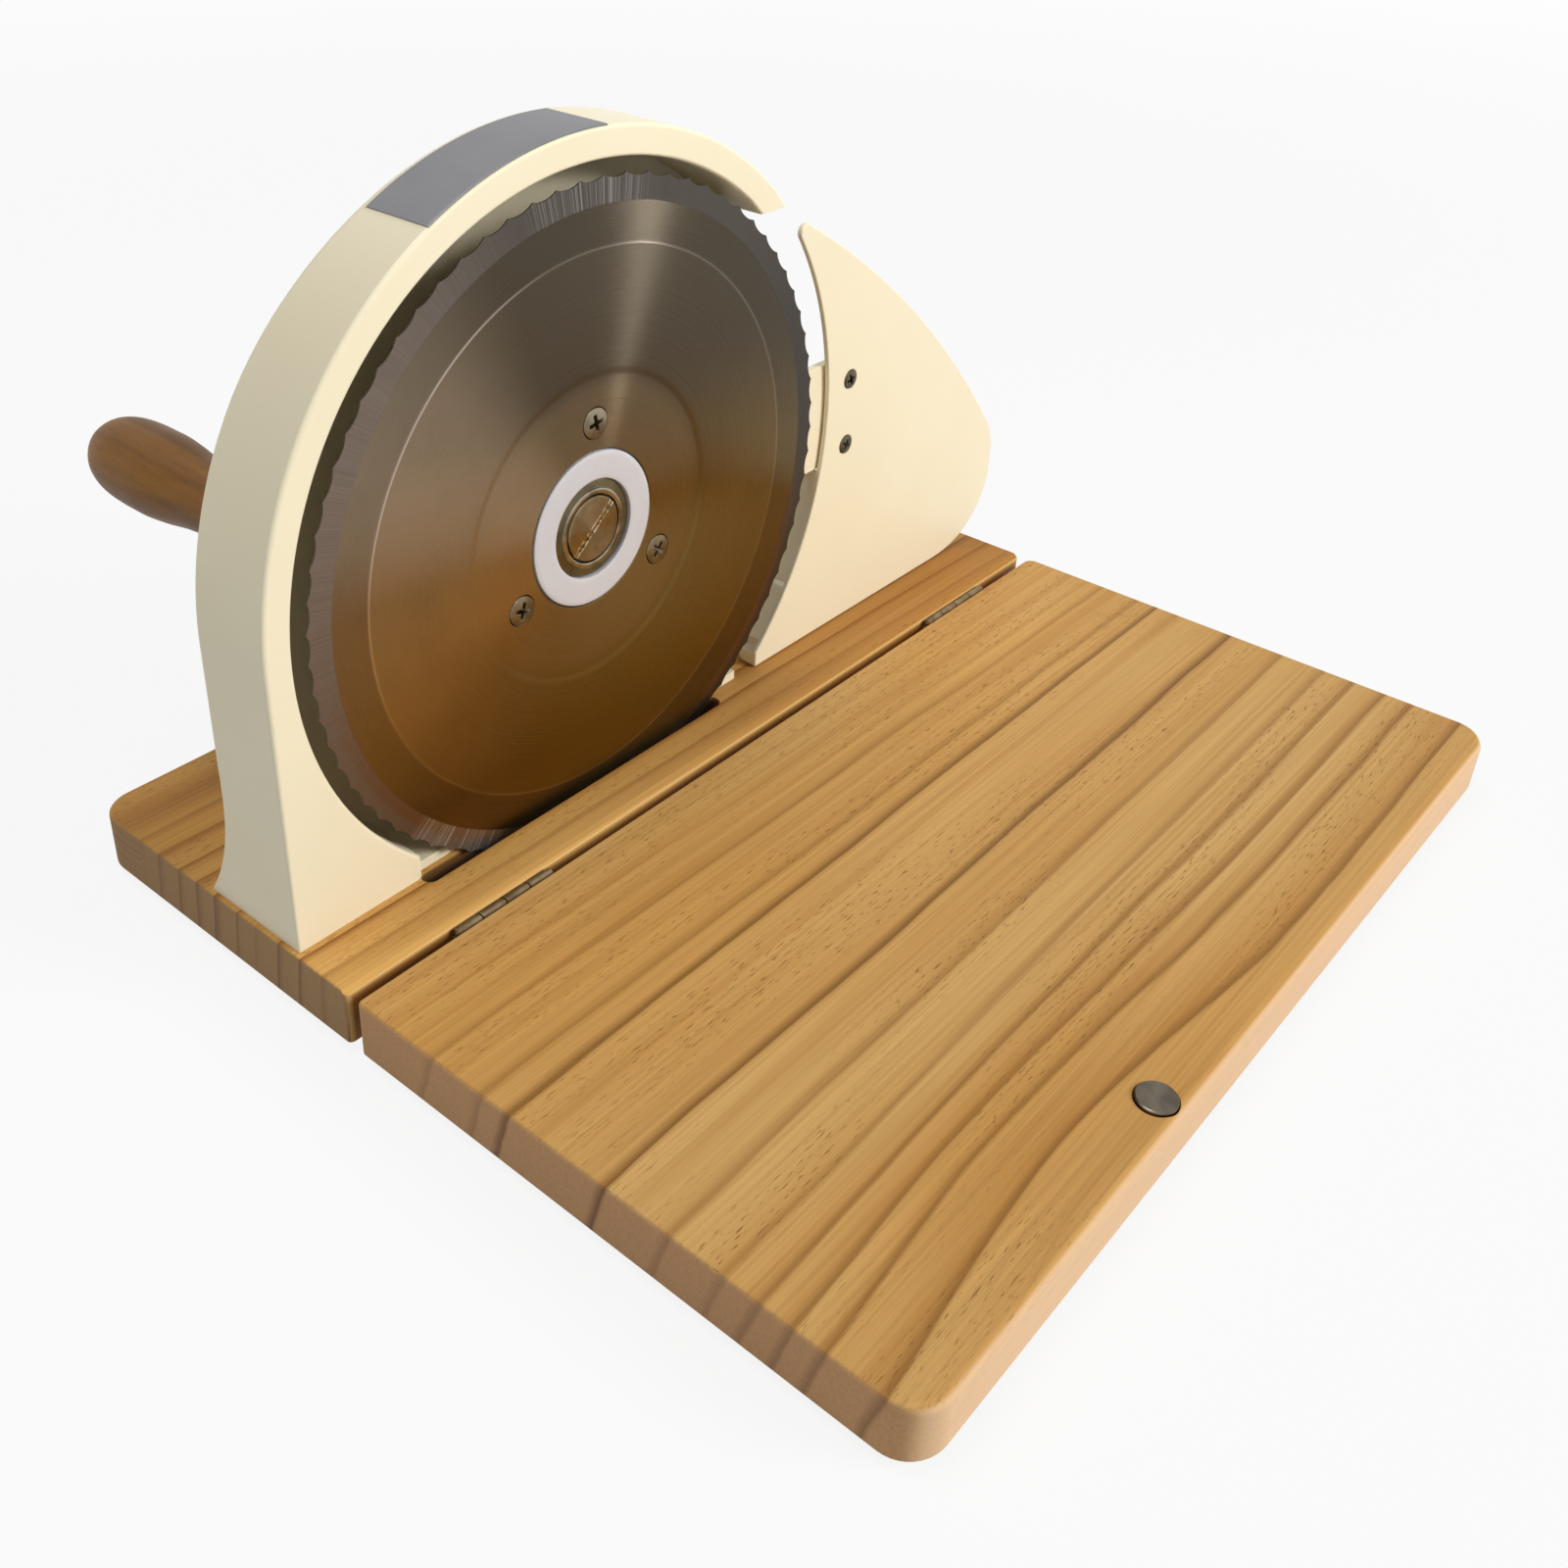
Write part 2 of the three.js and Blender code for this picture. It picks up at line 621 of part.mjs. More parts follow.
for (let i = 1; i <= 8; i += 1) {
  const rise = i / 8;
  const reach = FLARE_DEPTH * (1 - rise) ** 2.6;
  flareShape.lineTo(guardBack + reach, GAP + (FLARE_HEIGHT - GAP) * rise);
}
flareShape.lineTo(guardBack - 2, FLARE_HEIGHT);
const floorFront = slotBack + 0.8;
const guardTop = axisZ + GUARD_END_RISE;
const bossRadius = BASE_SCREW.shank + 4;
const [bossX, bossY] = guardScrewPlaces[2];
const screwBossTop = boardUnderside + BASE_SCREW.length + 3;
let guard = solidOf(slab(rimShape, guardFront, guardBack));
const guardPieces = [
  slab(wallShape, guardBack - BACK_WALL, guardBack),
  rail(flareShape, GUARD_INSET, FOOT_TOE),
  block(FOOT_TOE - 1, innerEndX, floorFront, guardBack, GAP, FLOOR_WALL),
  block(innerEndX - EDGE_LIP_WALL, innerEndX, guardBack - EDGE_LIP_DEPTH, guardBack, GAP, guardTop),
  bar(AXLE_BOSS_RADIUS, axleBossFront, guardBack - 1, ROUND).translate(axisX, 0, axisZ),
  bar(CRANK_BOSS_RADIUS, axleBossFront, crankBossBack, ROUND).translate(axisX, 0, crankZ),
  alongZ(bar(bossRadius, GAP, screwBossTop, SMALL)).translate(bossX, bossY, 0),
];
for (const piece of guardPieces) {
  guard = guard.add(solidOf(piece));
}
const bushRadius = SHAFT_RADIUS + RUNNING_GAP + BUSH_WALL;
const guardCuts = [
  bar(AXLE_TAIL_RADIUS + GAP, guardFront, guardBack + 4, ROUND).translate(axisX, 0, axisZ),
  bar(bushRadius + GAP, guardFront, crankBossBack + 4, ROUND).translate(axisX, 0, crankZ),
  ...guardScrewPlaces.map(([x, y]) => baseScrewAt(x, y, GAP)),
];
for (const tool of guardCuts) {
  guard = guard.subtract(solidOf(tool));
}
add('guard', geometryOf(guard), CREAM);
guardScrewPlaces.forEach(([x, y], i) => {
  add(`guard_screw_${i + 1}`, baseScrewAt(x, y, 0), STEEL);
});

// Bare plate bent over the top of the rim
const plateLow = guardOuter + GAP;
const plateShape = new THREE.Shape([
  ...arc(axisX, axisZ, plateLow, PLATE_END_ANGLE, PLATE_START_ANGLE, 14),
  ...arc(axisX, axisZ, plateLow + PLATE_THICKNESS, PLATE_START_ANGLE, PLATE_END_ANGLE, 14),
]);
add('rim_plate', slab(plateShape, guardFront + PLATE_MARGIN, guardBack - PLATE_MARGIN), LABEL_GREY);

// Blade: dished disc with a ground bevel and a scalloped edge
const bevelRadius = BLADE_RADIUS - BEVEL_WIDTH;
const ridgeFront = bladeHubFront - BLADE_DISH;
const boreRadius = BOSS_RADIUS + GAP;
const discProfile = [
  [boreRadius, bladeHubFront],
  [HUB_FLAT_RADIUS, bladeHubFront],
  [HUB_FLAT_RADIUS + 2, bladeHubFront - 0.3],
  [RIDGE_RADIUS, ridgeFront],
  [bevelRadius, ridgeFront + 0.2],
  [BLADE_RADIUS + 1, bladeEdgeY - BLADE_EDGE_THICKNESS],
  [BLADE_RADIUS + 1, bladeEdgeY],
  [bevelRadius, ridgeFront + 0.2 + BLADE_THICKNESS],
  [HUB_FLAT_RADIUS + 2, bladeHubBack - 0.3],
  [HUB_FLAT_RADIUS, bladeHubBack],
  [boreRadius, bladeHubBack],
  [boreRadius, bladeHubFront],
];
const edgePoints = [];
const toothStep = 2 * Math.PI / TOOTH_COUNT;
for (let i = 0; i < TOOTH_COUNT; i += 1) {
  for (const [share, depth] of [[0, 0], [0.3, 0.9], [0.7, 0.9]]) {
    const angle = (i + share) * toothStep;
    const radius = BLADE_RADIUS - TOOTH_DEPTH * depth;
    edgePoints.push(point(radius * Math.cos(angle), radius * Math.sin(angle)));
  }
}
const edgeSlab = slab(new THREE.Shape(edgePoints), bladeEdgeY - 20, bladeEdgeY + 20);
const bladeScrewPlaces = BLADE_SCREW_ANGLES.map((degrees) => {
  const angle = THREE.MathUtils.degToRad(degrees);
  return [BLADE_SCREW_CIRCLE * Math.cos(angle), BLADE_SCREW_CIRCLE * Math.sin(angle)];
});
const bladeScrewHoles = bladeScrewPlaces.map(([x, z]) => {
  return screw(BLADE_SCREW, SMALL, GAP).translate(x, bladeHubFront, z);
});
const disc = common(turned(discProfile, FINE + 20), edgeSlab);
add('blade', cut(disc, ...bladeScrewHoles), BLADE_STEEL, axisX, 0, axisZ);
bladeScrewPlaces.forEach(([x, z], i) => {
  add(`blade_screw_${i + 1}`, screw(BLADE_SCREW, SMALL), STEEL, axisX + x, bladeHubFront, axisZ + z);
});

// Nylon gear: its boss shows through the middle of the blade
const gearBore = JOURNAL_RADIUS + RUNNING_GAP;
const gearHub = turned([
  [gearBore, counterboreFloor],
  [COUNTERBORE_RADIUS, counterboreFloor],
  [COUNTERBORE_RADIUS, bossFront],
  [BOSS_RADIUS, bossFront],
  [BOSS_RADIUS, gearHubBack],
  [gearBore, gearHubBack],
  [gearBore, counterboreFloor],
], FINE);
const gearWheelShape = gearShape(GEAR_TEETH, Math.PI / 2);
gearWheelShape.holes.push(circleHole(0, 0, BOSS_RADIUS - 1, FINE));
const gearWheel = join(slab(gearWheelShape, gearFront, gearBack), gearHub);
add('gear', cut(gearWheel, ...bladeScrewHoles), NYLON, axisX, 0, axisZ);

// Axle, retaining washer and slotted screw
const washerBack = counterboreFloor - GAP;
const washerFront = bossFront + LIP_HEIGHT + 0.4;
const washerRadius = COUNTERBORE_RADIUS - GAP;
const headFront = bossFront + 0.2;
const headBack = washerFront + 1.3;
const headRadius = LIP_OUTER_RADIUS - LIP_WALL - GAP;
const screwShankBack = headBack + AXLE_SCREW_SHANK_LENGTH;
const axleTailBack = guardBack + GAP + AXLE_NUT_THICKNESS + 0.6;
const axleShoulder = axleBossFront - GAP;
const axleBoreRadius = AXLE_SCREW_SHANK_RADIUS + GAP;
const axleBody = turned([
  [0, screwShankBack + GAP],
  [axleBoreRadius, screwShankBack + GAP],
  [axleBoreRadius, counterboreFloor],
  [JOURNAL_RADIUS, counterboreFloor],
  [JOURNAL_RADIUS, axleShoulder],
  [AXLE_TAIL_RADIUS, axleShoulder],
  [AXLE_TAIL_RADIUS, axleTailBack],
  [0, axleTailBack],
], ROUND);
add('axle', axleBody, STEEL, axisX, 0, axisZ);
const washer = turned([
  [axleBoreRadius, headBack + GAP],
  [LIP_OUTER_RADIUS - LIP_WALL, headBack + GAP],
  [LIP_OUTER_RADIUS - LIP_WALL, washerFront - LIP_HEIGHT],
  [LIP_OUTER_RADIUS, washerFront - LIP_HEIGHT],
  [LIP_OUTER_RADIUS, washerFront],
  [washerRadius, washerFront],
  [washerRadius, washerBack],
  [axleBoreRadius, washerBack],
  [axleBoreRadius, headBack + GAP],
], ROUND);
add('axle_washer', washer, STEEL, axisX, 0, axisZ);
const headAndShank = turned([
  [0, headFront],
  [headRadius - 0.5, headFront],
  [headRadius, headFront + 0.5],
  [headRadius, headBack],
  [AXLE_SCREW_SHANK_RADIUS, headBack],
  [AXLE_SCREW_SHANK_RADIUS, screwShankBack],
  [0, screwShankBack],
], ROUND);
const halfSlot = SCREW_SLOT_WIDTH / 2;
const slotTool = block(-20, 20, headFront - 2, headFront + SCREW_SLOT_DEPTH, -halfSlot, halfSlot);
slotTool.rotateY(-THREE.MathUtils.degToRad(SCREW_SLOT_ANGLE));
add('axle_screw', cut(headAndShank, slotTool), STEEL, axisX, 0, axisZ);

function hexNut(radius, bore, from, to) {
  const shape = new THREE.Shape(arc(0, 0, radius, 0, 360, 6).slice(0, -1));
  shape.holes.push(circleHole(0, 0, bore, SMALL));
  return slab(shape, from, to);
}

const axleNutFront = guardBack + GAP;
const axleNutBack = axleNutFront + AXLE_NUT_THICKNESS;
const axleNut = hexNut(AXLE_NUT_RADIUS, AXLE_TAIL_RADIUS + GAP, axleNutFront, axleNutBack);
add('axle_nut', axleNut, STEEL, axisX, 0, axisZ);

// Crank: pinion, shaft in its bush, arm and nut
const pinionShape = gearShape(PINION_TEETH, -Math.PI / 2 + Math.PI / PINION_TEETH);
const shaftBore = SHAFT_RADIUS + GAP;
pinionShape.holes.push(circleHole(0, 0, shaftBore, SMALL));
const pinionBack = pinionFront + GEAR_FACE_WIDTH;
const pinionHubBack = axleBossFront - RUNNING_GAP - GAP;
const pinionHub = tube(shaftBore, shaftBore + 3.5, pinionBack - 1, pinionHubBack, SMALL);
add('pinion', join(slab(pinionShape, pinionFront, pinionBack), pinionHub), NYLON, axisX, 0, crankZ);
const shaftNutFront = armBack + GAP;
const shaftBack = shaftNutFront + SHAFT_NUT_THICKNESS + 1.2;
add('crank_shaft', bar(SHAFT_RADIUS, pinionFront - 0.4, shaftBack, SMALL), STEEL, axisX, 0, crankZ);
const bushBore = SHAFT_RADIUS + RUNNING_GAP;
const bush = turned([
  [bushBore, axleBossFront],
  [bushRadius, axleBossFront],
  [bushRadius, crankBossBack + GAP],
  [BUSH_FLANGE_RADIUS, crankBossBack + GAP],
  [BUSH_FLANGE_RADIUS, bushBack],
  [bushBore, bushBack],
  [bushBore, axleBossFront],
], SMALL);
add('crank_bush', bush, BRASS, axisX, 0, crankZ);
const armShape = new THREE.Shape([
  ...arc(0, 0, ARM_HALF_WIDTH, 90, 270, 12),
  ...arc(CRANK_LENGTH, 0, ARM_HALF_WIDTH, -90, 90, 12),
]);
armShape.holes.push(circleHole(0, 0, shaftBore, SMALL));
armShape.holes.push(circleHole(CRANK_LENGTH, 0, PIN_RADIUS + GAP, SMALL));
const arm = slab(armShape, armFront, armBack).rotateY(-crankTurn);
add('crank_arm', arm, STEEL, axisX, 0, crankZ);
const shaftNut = hexNut(SHAFT_NUT_RADIUS, shaftBore, shaftNutFront, shaftNutFront + SHAFT_NUT_THICKNESS);
add('crank_nut', shaftNut, STEEL, axisX, 0, crankZ);

// Grip turning on its pin
const recessFloor = gripBack - PIN_HEAD_RECESS - PIN_HEAD_THICKNESS - RUNNING_GAP;
const pinHeadBack = gripBack - PIN_HEAD_RECESS;
const collarFront = armFront - GAP - 2;
const pin = turned([
  [0, collarFront],
  [PIN_HEAD_RADIUS, collarFront],
  [PIN_HEAD_RADIUS, armFront - GAP],
  [PIN_RADIUS, armFront - GAP],
  [PIN_RADIUS, pinHeadBack - PIN_HEAD_THICKNESS],
  [PIN_HEAD_RADIUS, pinHeadBack - PIN_HEAD_THICKNESS],
  [PIN_HEAD_RADIUS, pinHeadBack],
  [0, pinHeadBack],
], SMALL);
add('grip_pin', pin, STEEL, gripX, 0, gripZ);
const gripBore = PIN_RADIUS + RUNNING_GAP;
const recessRadius = PIN_HEAD_RADIUS + RUNNING_GAP;
const gripProfile = [
  [gripBore, gripFront],
  ...GRIP_PROFILE.map(([share, radius]) => [radius, gripFront + share * GRIP_LENGTH]),
  [recessRadius, gripBack],
  [recessRadius, recessFloor],
  [gripBore, recessFloor],
  [gripBore, gripFront],
];
add('grip', turned(gripProfile, ROUND), DARK_WOOD, gripX, 0, gripZ);

// Thickness plate: concave edge with a flange beside the blade, long curved top, rounded far end
const fenceLow = FENCE_FLOOR_GAP;
const toeTurn = THREE.MathUtils.radToDeg(Math.asin((axisZ - FENCE_TOE_HEIGHT) / fenceRadius));
const toeX = axisX + fenceRadius * Math.cos(THREE.MathUtils.degToRad(toeTurn));
const tipTurn = THREE.MathUtils.degToRad(FENCE_TIP_ANGLE);
const tipX = axisX + (fenceRadius + FENCE_TIP_RADIUS) * Math.cos(tipTurn);
const tipZ = axisZ + (fenceRadius + FENCE_TIP_RADIUS) * Math.sin(tipTurn);
const tipArc = arc(tipX, tipZ, FENCE_TIP_RADIUS, FENCE_TIP_ANGLE + 180, 50, 6);
const tipEnd = tipArc[tipArc.length - 1];
const shoulder = point(fenceEndX - FENCE_SHOULDER_INSET, FENCE_SHOULDER_HEIGHT);
const chord = shoulder.clone().sub(tipEnd);
const crown = point(-chord.y, chord.x).normalize().multiplyScalar(FENCE_CROWN);
const topControl = tipEnd.clone().add(shoulder).multiplyScalar(0.5).add(crown);
const topCurve = new THREE.QuadraticBezierCurve(tipEnd, topControl, shoulder);
const fall = shoulder.clone().sub(topControl).normalize().multiplyScalar(FENCE_SHOULDER_HEIGHT * 0.4);
const endCurve = new THREE.CubicBezierCurve(
  shoulder,
  shoulder.clone().add(fall),
  point(fenceEndX + 2.6, fenceLow),
  point(fenceEndX - FENCE_HEEL_LENGTH, fenceLow),
);
const endPoints = endCurve.getPoints(14).slice(1);
for (const place of endPoints) {
  place.x = Math.min(place.x, fenceEndX);
}
const fenceShape = new THREE.Shape([
  point(toeX, fenceLow),
  ...arc(axisX, axisZ, fenceRadius, -toeTurn, FENCE_TIP_ANGLE, 22).slice(0, -1),
  ...tipArc,
  ...topCurve.getPoints(14).slice(1),
  ...endPoints,
].reverse());
const noseShape = new THREE.Shape([
  point(toeX, fenceBack - 1),
  point(toeX + NOSE_LENGTH, fenceBack - 1),
  ...arc(toeX + NOSE_LENGTH / 2, fenceBack + NOSE_DEPTH - NOSE_LENGTH / 2, NOSE_LENGTH / 2, 0, 180, 8),
]);
const fencePlaces = [fenceScrewZ + FENCE_SCREW_SPACING / 2, fenceScrewZ - FENCE_SCREW_SPACING / 2];
const fenceScrewHoles = fencePlaces.map((z) => {
  return screw(FENCE_SCREW, TINY, GAP).translate(fenceScrewX, fenceFront, z);
});
const flangeHigh = carriageLow - GAP;
const flangeBand = block(axisX, fenceScrewX, fenceBack - 0.6, fenceBack + FLANGE_DEPTH, FLANGE_LOW, flangeHigh);
const flangeOutside = bar(fenceRadius + FLANGE_WALL, fenceFront, fenceBack + FLANGE_DEPTH + 1, FINE * 3);
flangeOutside.translate(axisX, 0, axisZ);
const deepFence = slab(fenceShape, fenceFront, fenceBack + FLANGE_DEPTH);
const wholeFlange = common(common(deepFence, flangeBand), flangeOutside);
const flangeSlit = block(
  axisX,
  fenceScrewX,
  fenceBack + 1,
  fenceBack + FLANGE_DEPTH + 1,
  FLANGE_SLIT_HEIGHT,
  FLANGE_SLIT_HEIGHT + FLANGE_SLIT_WIDTH,
);
const fenceBody = join(
  slab(fenceShape, fenceFront, fenceBack),
  board(noseShape, fenceLow, NOSE_HEIGHT),
  cut(wholeFlange, flangeSlit),
);
add('fence_plate', cut(fenceBody, ...fenceScrewHoles), CREAM);
['upper', 'lower'].forEach((place, i) => {
  add(`fence_screw_${place}`, screw(FENCE_SCREW, TINY), STEEL, fenceScrewX, fenceFront, fencePlaces[i]);
});

// Carriage: plate behind the thickness plate, a root block and a slotted slide bar
const carriagePlate = block(
  fenceScrewX - CARRIAGE_LEFT,
  fenceScrewX + CARRIAGE_RIGHT,
  carriageFront,
  carriageFront + CARRIAGE_PLATE,
  carriageLow,
  carriageHigh,
);
const carriageRoot = block(
  fenceScrewX - CARRIAGE_RIGHT,
  fenceScrewX + CARRIAGE_RIGHT,
  carriageFront,
  carriageBack,
  carriageLow,
  barHigh,
);
const slideBar = block(
  barX - BAR_WIDTH / 2,
  barX + BAR_WIDTH / 2,
  carriageBack - 1,
  barBack,
  carriageLow,
  barHigh,
);
const barSlotRadius = STUD_RADIUS + RUNNING_GAP;
const barSlot = block(
  barX - BAR_WIDTH,
  barX + BAR_WIDTH,
  studY - SLIDE_TRAVEL - barSlotRadius,
  studY + barSlotRadius,
  studZ - barSlotRadius,
  studZ + barSlotRadius,
);
const carriageBody = join(carriagePlate, carriageRoot, slideBar);
add('carriage', cut(carriageBody, barSlot, ...fenceScrewHoles), CREAM);

// Pedestal: foot, column and the two cheeks that guide the slide bar
const shelf = carriageLow - GAP;
const columnHalf = PEDESTAL_COLUMN_WIDTH / 2;
const footTop = GAP + PEDESTAL_FOOT_THICKNESS;
const columnBack = cheekBack - PEDESTAL_COLUMN_SETBACK;
const columnFront = cheekFront + PEDESTAL_COLUMN_SETBACK;
const pedestalBody = join(
  block(barX - cheekOuter, barX + cheekOuter, pedestalToe, cheekBack, GAP, footTop),
  block(barX - columnHalf, barX + columnHalf, columnFront, columnBack, footTop - 1, shelf - 1),
  block(barX - cheekOuter, barX + cheekOuter, cheekFront, cheekBack, shelf - PEDESTAL_HEAD, shelf),
  block(barX - cheekOuter, barX - cheekInner, cheekFront, cheekBack, shelf - 1, barHigh),
  block(barX + cheekInner, barX + cheekOuter, cheekFront, cheekBack, shelf - 1, barHigh),
);
const studLeft = barX - cheekOuter + 1.5;
const studHole = alongX(bar(STUD_RADIUS + GAP, studLeft - GAP, barX + cheekOuter + 2, SMALL));
studHole.translate(0, studY, studZ);
const pedestalScrewHoles = pedestalScrewPlaces.map(([x, y]) => baseScrewAt(x, y, GAP));
add('pedestal', cut(pedestalBody, studHole, ...pedestalScrewHoles), CREAM);
pedestalScrewPlaces.forEach(([x, y], i) => {
  add(`pedestal_screw_${i + 1}`, baseScrewAt(x, y, 0), STEEL);
});

// Clamp stud and its fluted knob
const knobLeft = barX + cheekOuter + RUNNING_GAP;
const knobRight = knobLeft + KNOB_LENGTH;
const studRight = knobLeft + KNOB_LENGTH * 0.6;
add('clamp_stud', alongX(bar(STUD_RADIUS, studLeft, studRight, SMALL)), STEEL, 0, studY, studZ);
const knobOutline = [];
for (let i = 0; i < KNOB_LOBES * 6; i += 1) {
  const angle = i * 2 * Math.PI / (KNOB_LOBES * 6);
  const flute = Math.max(0, Math.cos(angle * KNOB_LOBES)) * KNOB_FLUTE_RADIUS * 0.6;
  knobOutline.push(point((KNOB_RADIUS - flute) * Math.cos(angle), (KNOB_RADIUS - flute) * Math.sin(angle)));
}
const knobBody = rail(new THREE.Shape(knobOutline), knobLeft, knobRight);
const knobBore = alongX(bar(STUD_RADIUS + GAP, knobLeft - 2, studRight + GAP, SMALL));
add('clamp_knob', cut(knobBody, knobBore), KNOB_PLASTIC, 0, studY, studZ);

export default slicer;
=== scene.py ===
# %% [markdown]
# # A hand-cranked bread slicer
# A serrated disc turns inside an arched cream guard, driven from behind by a crank and two gears.
# Bread is pushed along a pine board, which folds up on two hinges, and a sliding plate beside the
# blade sets how thick the slices are. The packed model gives every piece its place and its
# movement, and this lesson dresses it, one piece and one finish at a time.

# %% Load the packed model
import json
import math

import bmesh
import bpy
from mathutils import Matrix, Vector

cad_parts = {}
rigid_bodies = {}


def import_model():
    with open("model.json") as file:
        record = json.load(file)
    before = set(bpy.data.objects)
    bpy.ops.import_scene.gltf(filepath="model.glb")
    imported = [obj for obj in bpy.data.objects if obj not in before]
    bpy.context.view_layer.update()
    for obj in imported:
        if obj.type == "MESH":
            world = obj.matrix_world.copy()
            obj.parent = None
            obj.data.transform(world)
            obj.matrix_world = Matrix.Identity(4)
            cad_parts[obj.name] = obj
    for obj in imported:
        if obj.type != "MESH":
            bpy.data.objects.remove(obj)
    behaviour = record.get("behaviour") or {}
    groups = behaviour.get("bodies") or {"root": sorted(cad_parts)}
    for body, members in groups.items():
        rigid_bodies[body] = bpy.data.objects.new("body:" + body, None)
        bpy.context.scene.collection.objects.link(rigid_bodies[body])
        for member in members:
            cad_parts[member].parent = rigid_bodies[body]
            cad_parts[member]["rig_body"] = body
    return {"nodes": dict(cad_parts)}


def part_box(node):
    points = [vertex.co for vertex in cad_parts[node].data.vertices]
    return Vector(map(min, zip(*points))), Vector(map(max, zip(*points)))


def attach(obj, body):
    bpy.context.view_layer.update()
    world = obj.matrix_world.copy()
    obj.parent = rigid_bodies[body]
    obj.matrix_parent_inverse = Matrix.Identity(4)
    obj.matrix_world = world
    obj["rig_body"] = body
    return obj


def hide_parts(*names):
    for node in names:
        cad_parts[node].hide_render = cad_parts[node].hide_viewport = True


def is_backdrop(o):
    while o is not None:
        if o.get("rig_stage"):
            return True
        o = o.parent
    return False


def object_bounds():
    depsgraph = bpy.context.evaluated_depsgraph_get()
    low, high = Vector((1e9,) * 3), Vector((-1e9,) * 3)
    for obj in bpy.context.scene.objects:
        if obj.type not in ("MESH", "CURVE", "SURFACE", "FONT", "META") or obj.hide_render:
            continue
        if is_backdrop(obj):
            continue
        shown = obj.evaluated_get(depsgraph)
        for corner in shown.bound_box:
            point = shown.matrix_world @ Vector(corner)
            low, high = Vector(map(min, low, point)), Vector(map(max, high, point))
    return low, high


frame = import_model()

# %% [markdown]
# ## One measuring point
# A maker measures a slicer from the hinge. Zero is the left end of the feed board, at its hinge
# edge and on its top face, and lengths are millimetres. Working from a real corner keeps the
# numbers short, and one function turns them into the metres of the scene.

MM = 0.001
cad_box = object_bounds()
feed_low, feed_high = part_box("feed_board")
zero = Vector((feed_low.x, feed_high.y, feed_high.z))


def at(x, y, z):
    return zero + Vector((x, y, z)) * MM


def span(node):
    low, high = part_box(node)
    return (low - zero) / MM, (high - zero) / MM


def middle(node):
    low, high = span(node)
    return (low + high) / 2


def stand(name, data):
    thing = bpy.data.objects.new(name, data)
    bpy.context.scene.collection.objects.link(thing)
    return thing


print("overall size in mm", [round(v / MM, 1) for v in cad_box[1] - cad_box[0]])

# %% [markdown]
# ## The camera
# The view looks down on the slicer from the front left. A camera could be pointed by hand, but
# its place, turn and lens were worked out from edges whose true places are known, so they are
# written as they came: the eye in working millimetres and the turn as one axis whose length is
# the angle.

# %% The camera
SENSOR = 36.0
FOCAL_SHARE = 1.04997
EYE = (-174.37, -251.62, 284.80)
TURN = Vector((1.956897, -0.875344, 0.536526))
SHIFT = (0.0547, -0.1120)
NEAREST = 0.01
lens = bpy.data.cameras.new("bench_camera")
lens.sensor_width = SENSOR
lens.lens = SENSOR * FOCAL_SHARE
lens.shift_x, lens.shift_y = SHIFT
lens.clip_start = NEAREST
camera = stand("bench_camera", lens)
right, down, ahead = Matrix.Rotation(TURN.length, 3, TURN)
axes = Matrix((right, -down, -ahead)).transposed()
camera.matrix_world = Matrix.Translation(at(*EYE)) @ axes.to_4x4()
bpy.context.scene.camera = camera
bpy.context.scene.view_settings.view_transform = "Standard"
print("lens in mm", round(lens.lens, 2), "eye in m", [round(v, 3) for v in camera.location])

# %% [markdown]
# ## Writing shaders as sums
# A finish is mostly arithmetic: a ring is a distance, a scratch is a noise raised to a power.
# Joining Math nodes by hand hides that, so a small class wraps a socket and lets it stand in an
# expression. Every other node comes from one method, which sets the node's settings first and its
# sockets after.

# %% Sockets that can be added and multiplied
class Wire:
    def __init__(self, sheet, socket):
        self.sheet = sheet
        self.socket = socket

    def out(self, name):
        return Wire(self.sheet, self.socket.node.outputs[name])

    def sum(self, operation, first, second):
        return self.sheet.node("ShaderNodeMath", {"operation": operation}, {0: first, 1: second})

    def __add__(self, other):
        return self.sum("ADD", self, other)

    def __radd__(self, other):
        return self.sum("ADD", other, self)

    def __sub__(self, other):
        return self.sum("SUBTRACT", self, other)

    def __rsub__(self, other):
        return self.sum("SUBTRACT", other, self)

    def __mul__(self, other):
        return self.sum("MULTIPLY", self, other)

    def __rmul__(self, other):
        return self.sum("MULTIPLY", other, self)

    def __truediv__(self, other):
        return self.sum("DIVIDE", self, other)

    def __rtruediv__(self, other):
        return self.sum("DIVIDE", other, self)

    def __pow__(self, other):
        return self.sum("POWER", self, other)

    def __rpow__(self, other):
        return self.sum("POWER", other, self)

    def most(self, other):
        return self.sum("MAXIMUM", self, other)

    def least(self, other):
        return self.sum("MINIMUM", self, other)

    def size(self):
        return self.sum("ABSOLUTE", self, 0.0)


print("reflected operators:", [name for name in vars(Wire) if name.startswith("__r")])

# %% A sheet of nodes
class Sheet:
    def __init__(self, holder):
        holder.use_nodes = True
        self.holder = holder
        self.tree = holder.node_tree
        self.tree.nodes.clear()

    def node(self, kind, settings=None, sockets=None, out=0):
        made = self.tree.nodes.new(kind)
        for key, value in (settings or {}).items():
            if key == "stops":
                set_stops(made.color_ramp.elements, value)
            else:
                setattr(made, key, value)
        for key, value in (sockets or {}).items():
            if isinstance(value, Wire):
                self.tree.links.new(value.socket, made.inputs[key])
            else:
                made.inputs[key].default_value = value
        return Wire(self, made.outputs[out]) if made.outputs else made


def set_stops(elements, stops):
    first, *between, last = stops
    for element, (place, shade) in zip(elements, (first, last)):
        element.position = place
        element.color = (shade, shade, shade, 1)
    for place, shade in between:
        elements.new(place).color = (shade, shade, shade, 1)


print("a sheet makes every node with", Sheet.node.__name__)

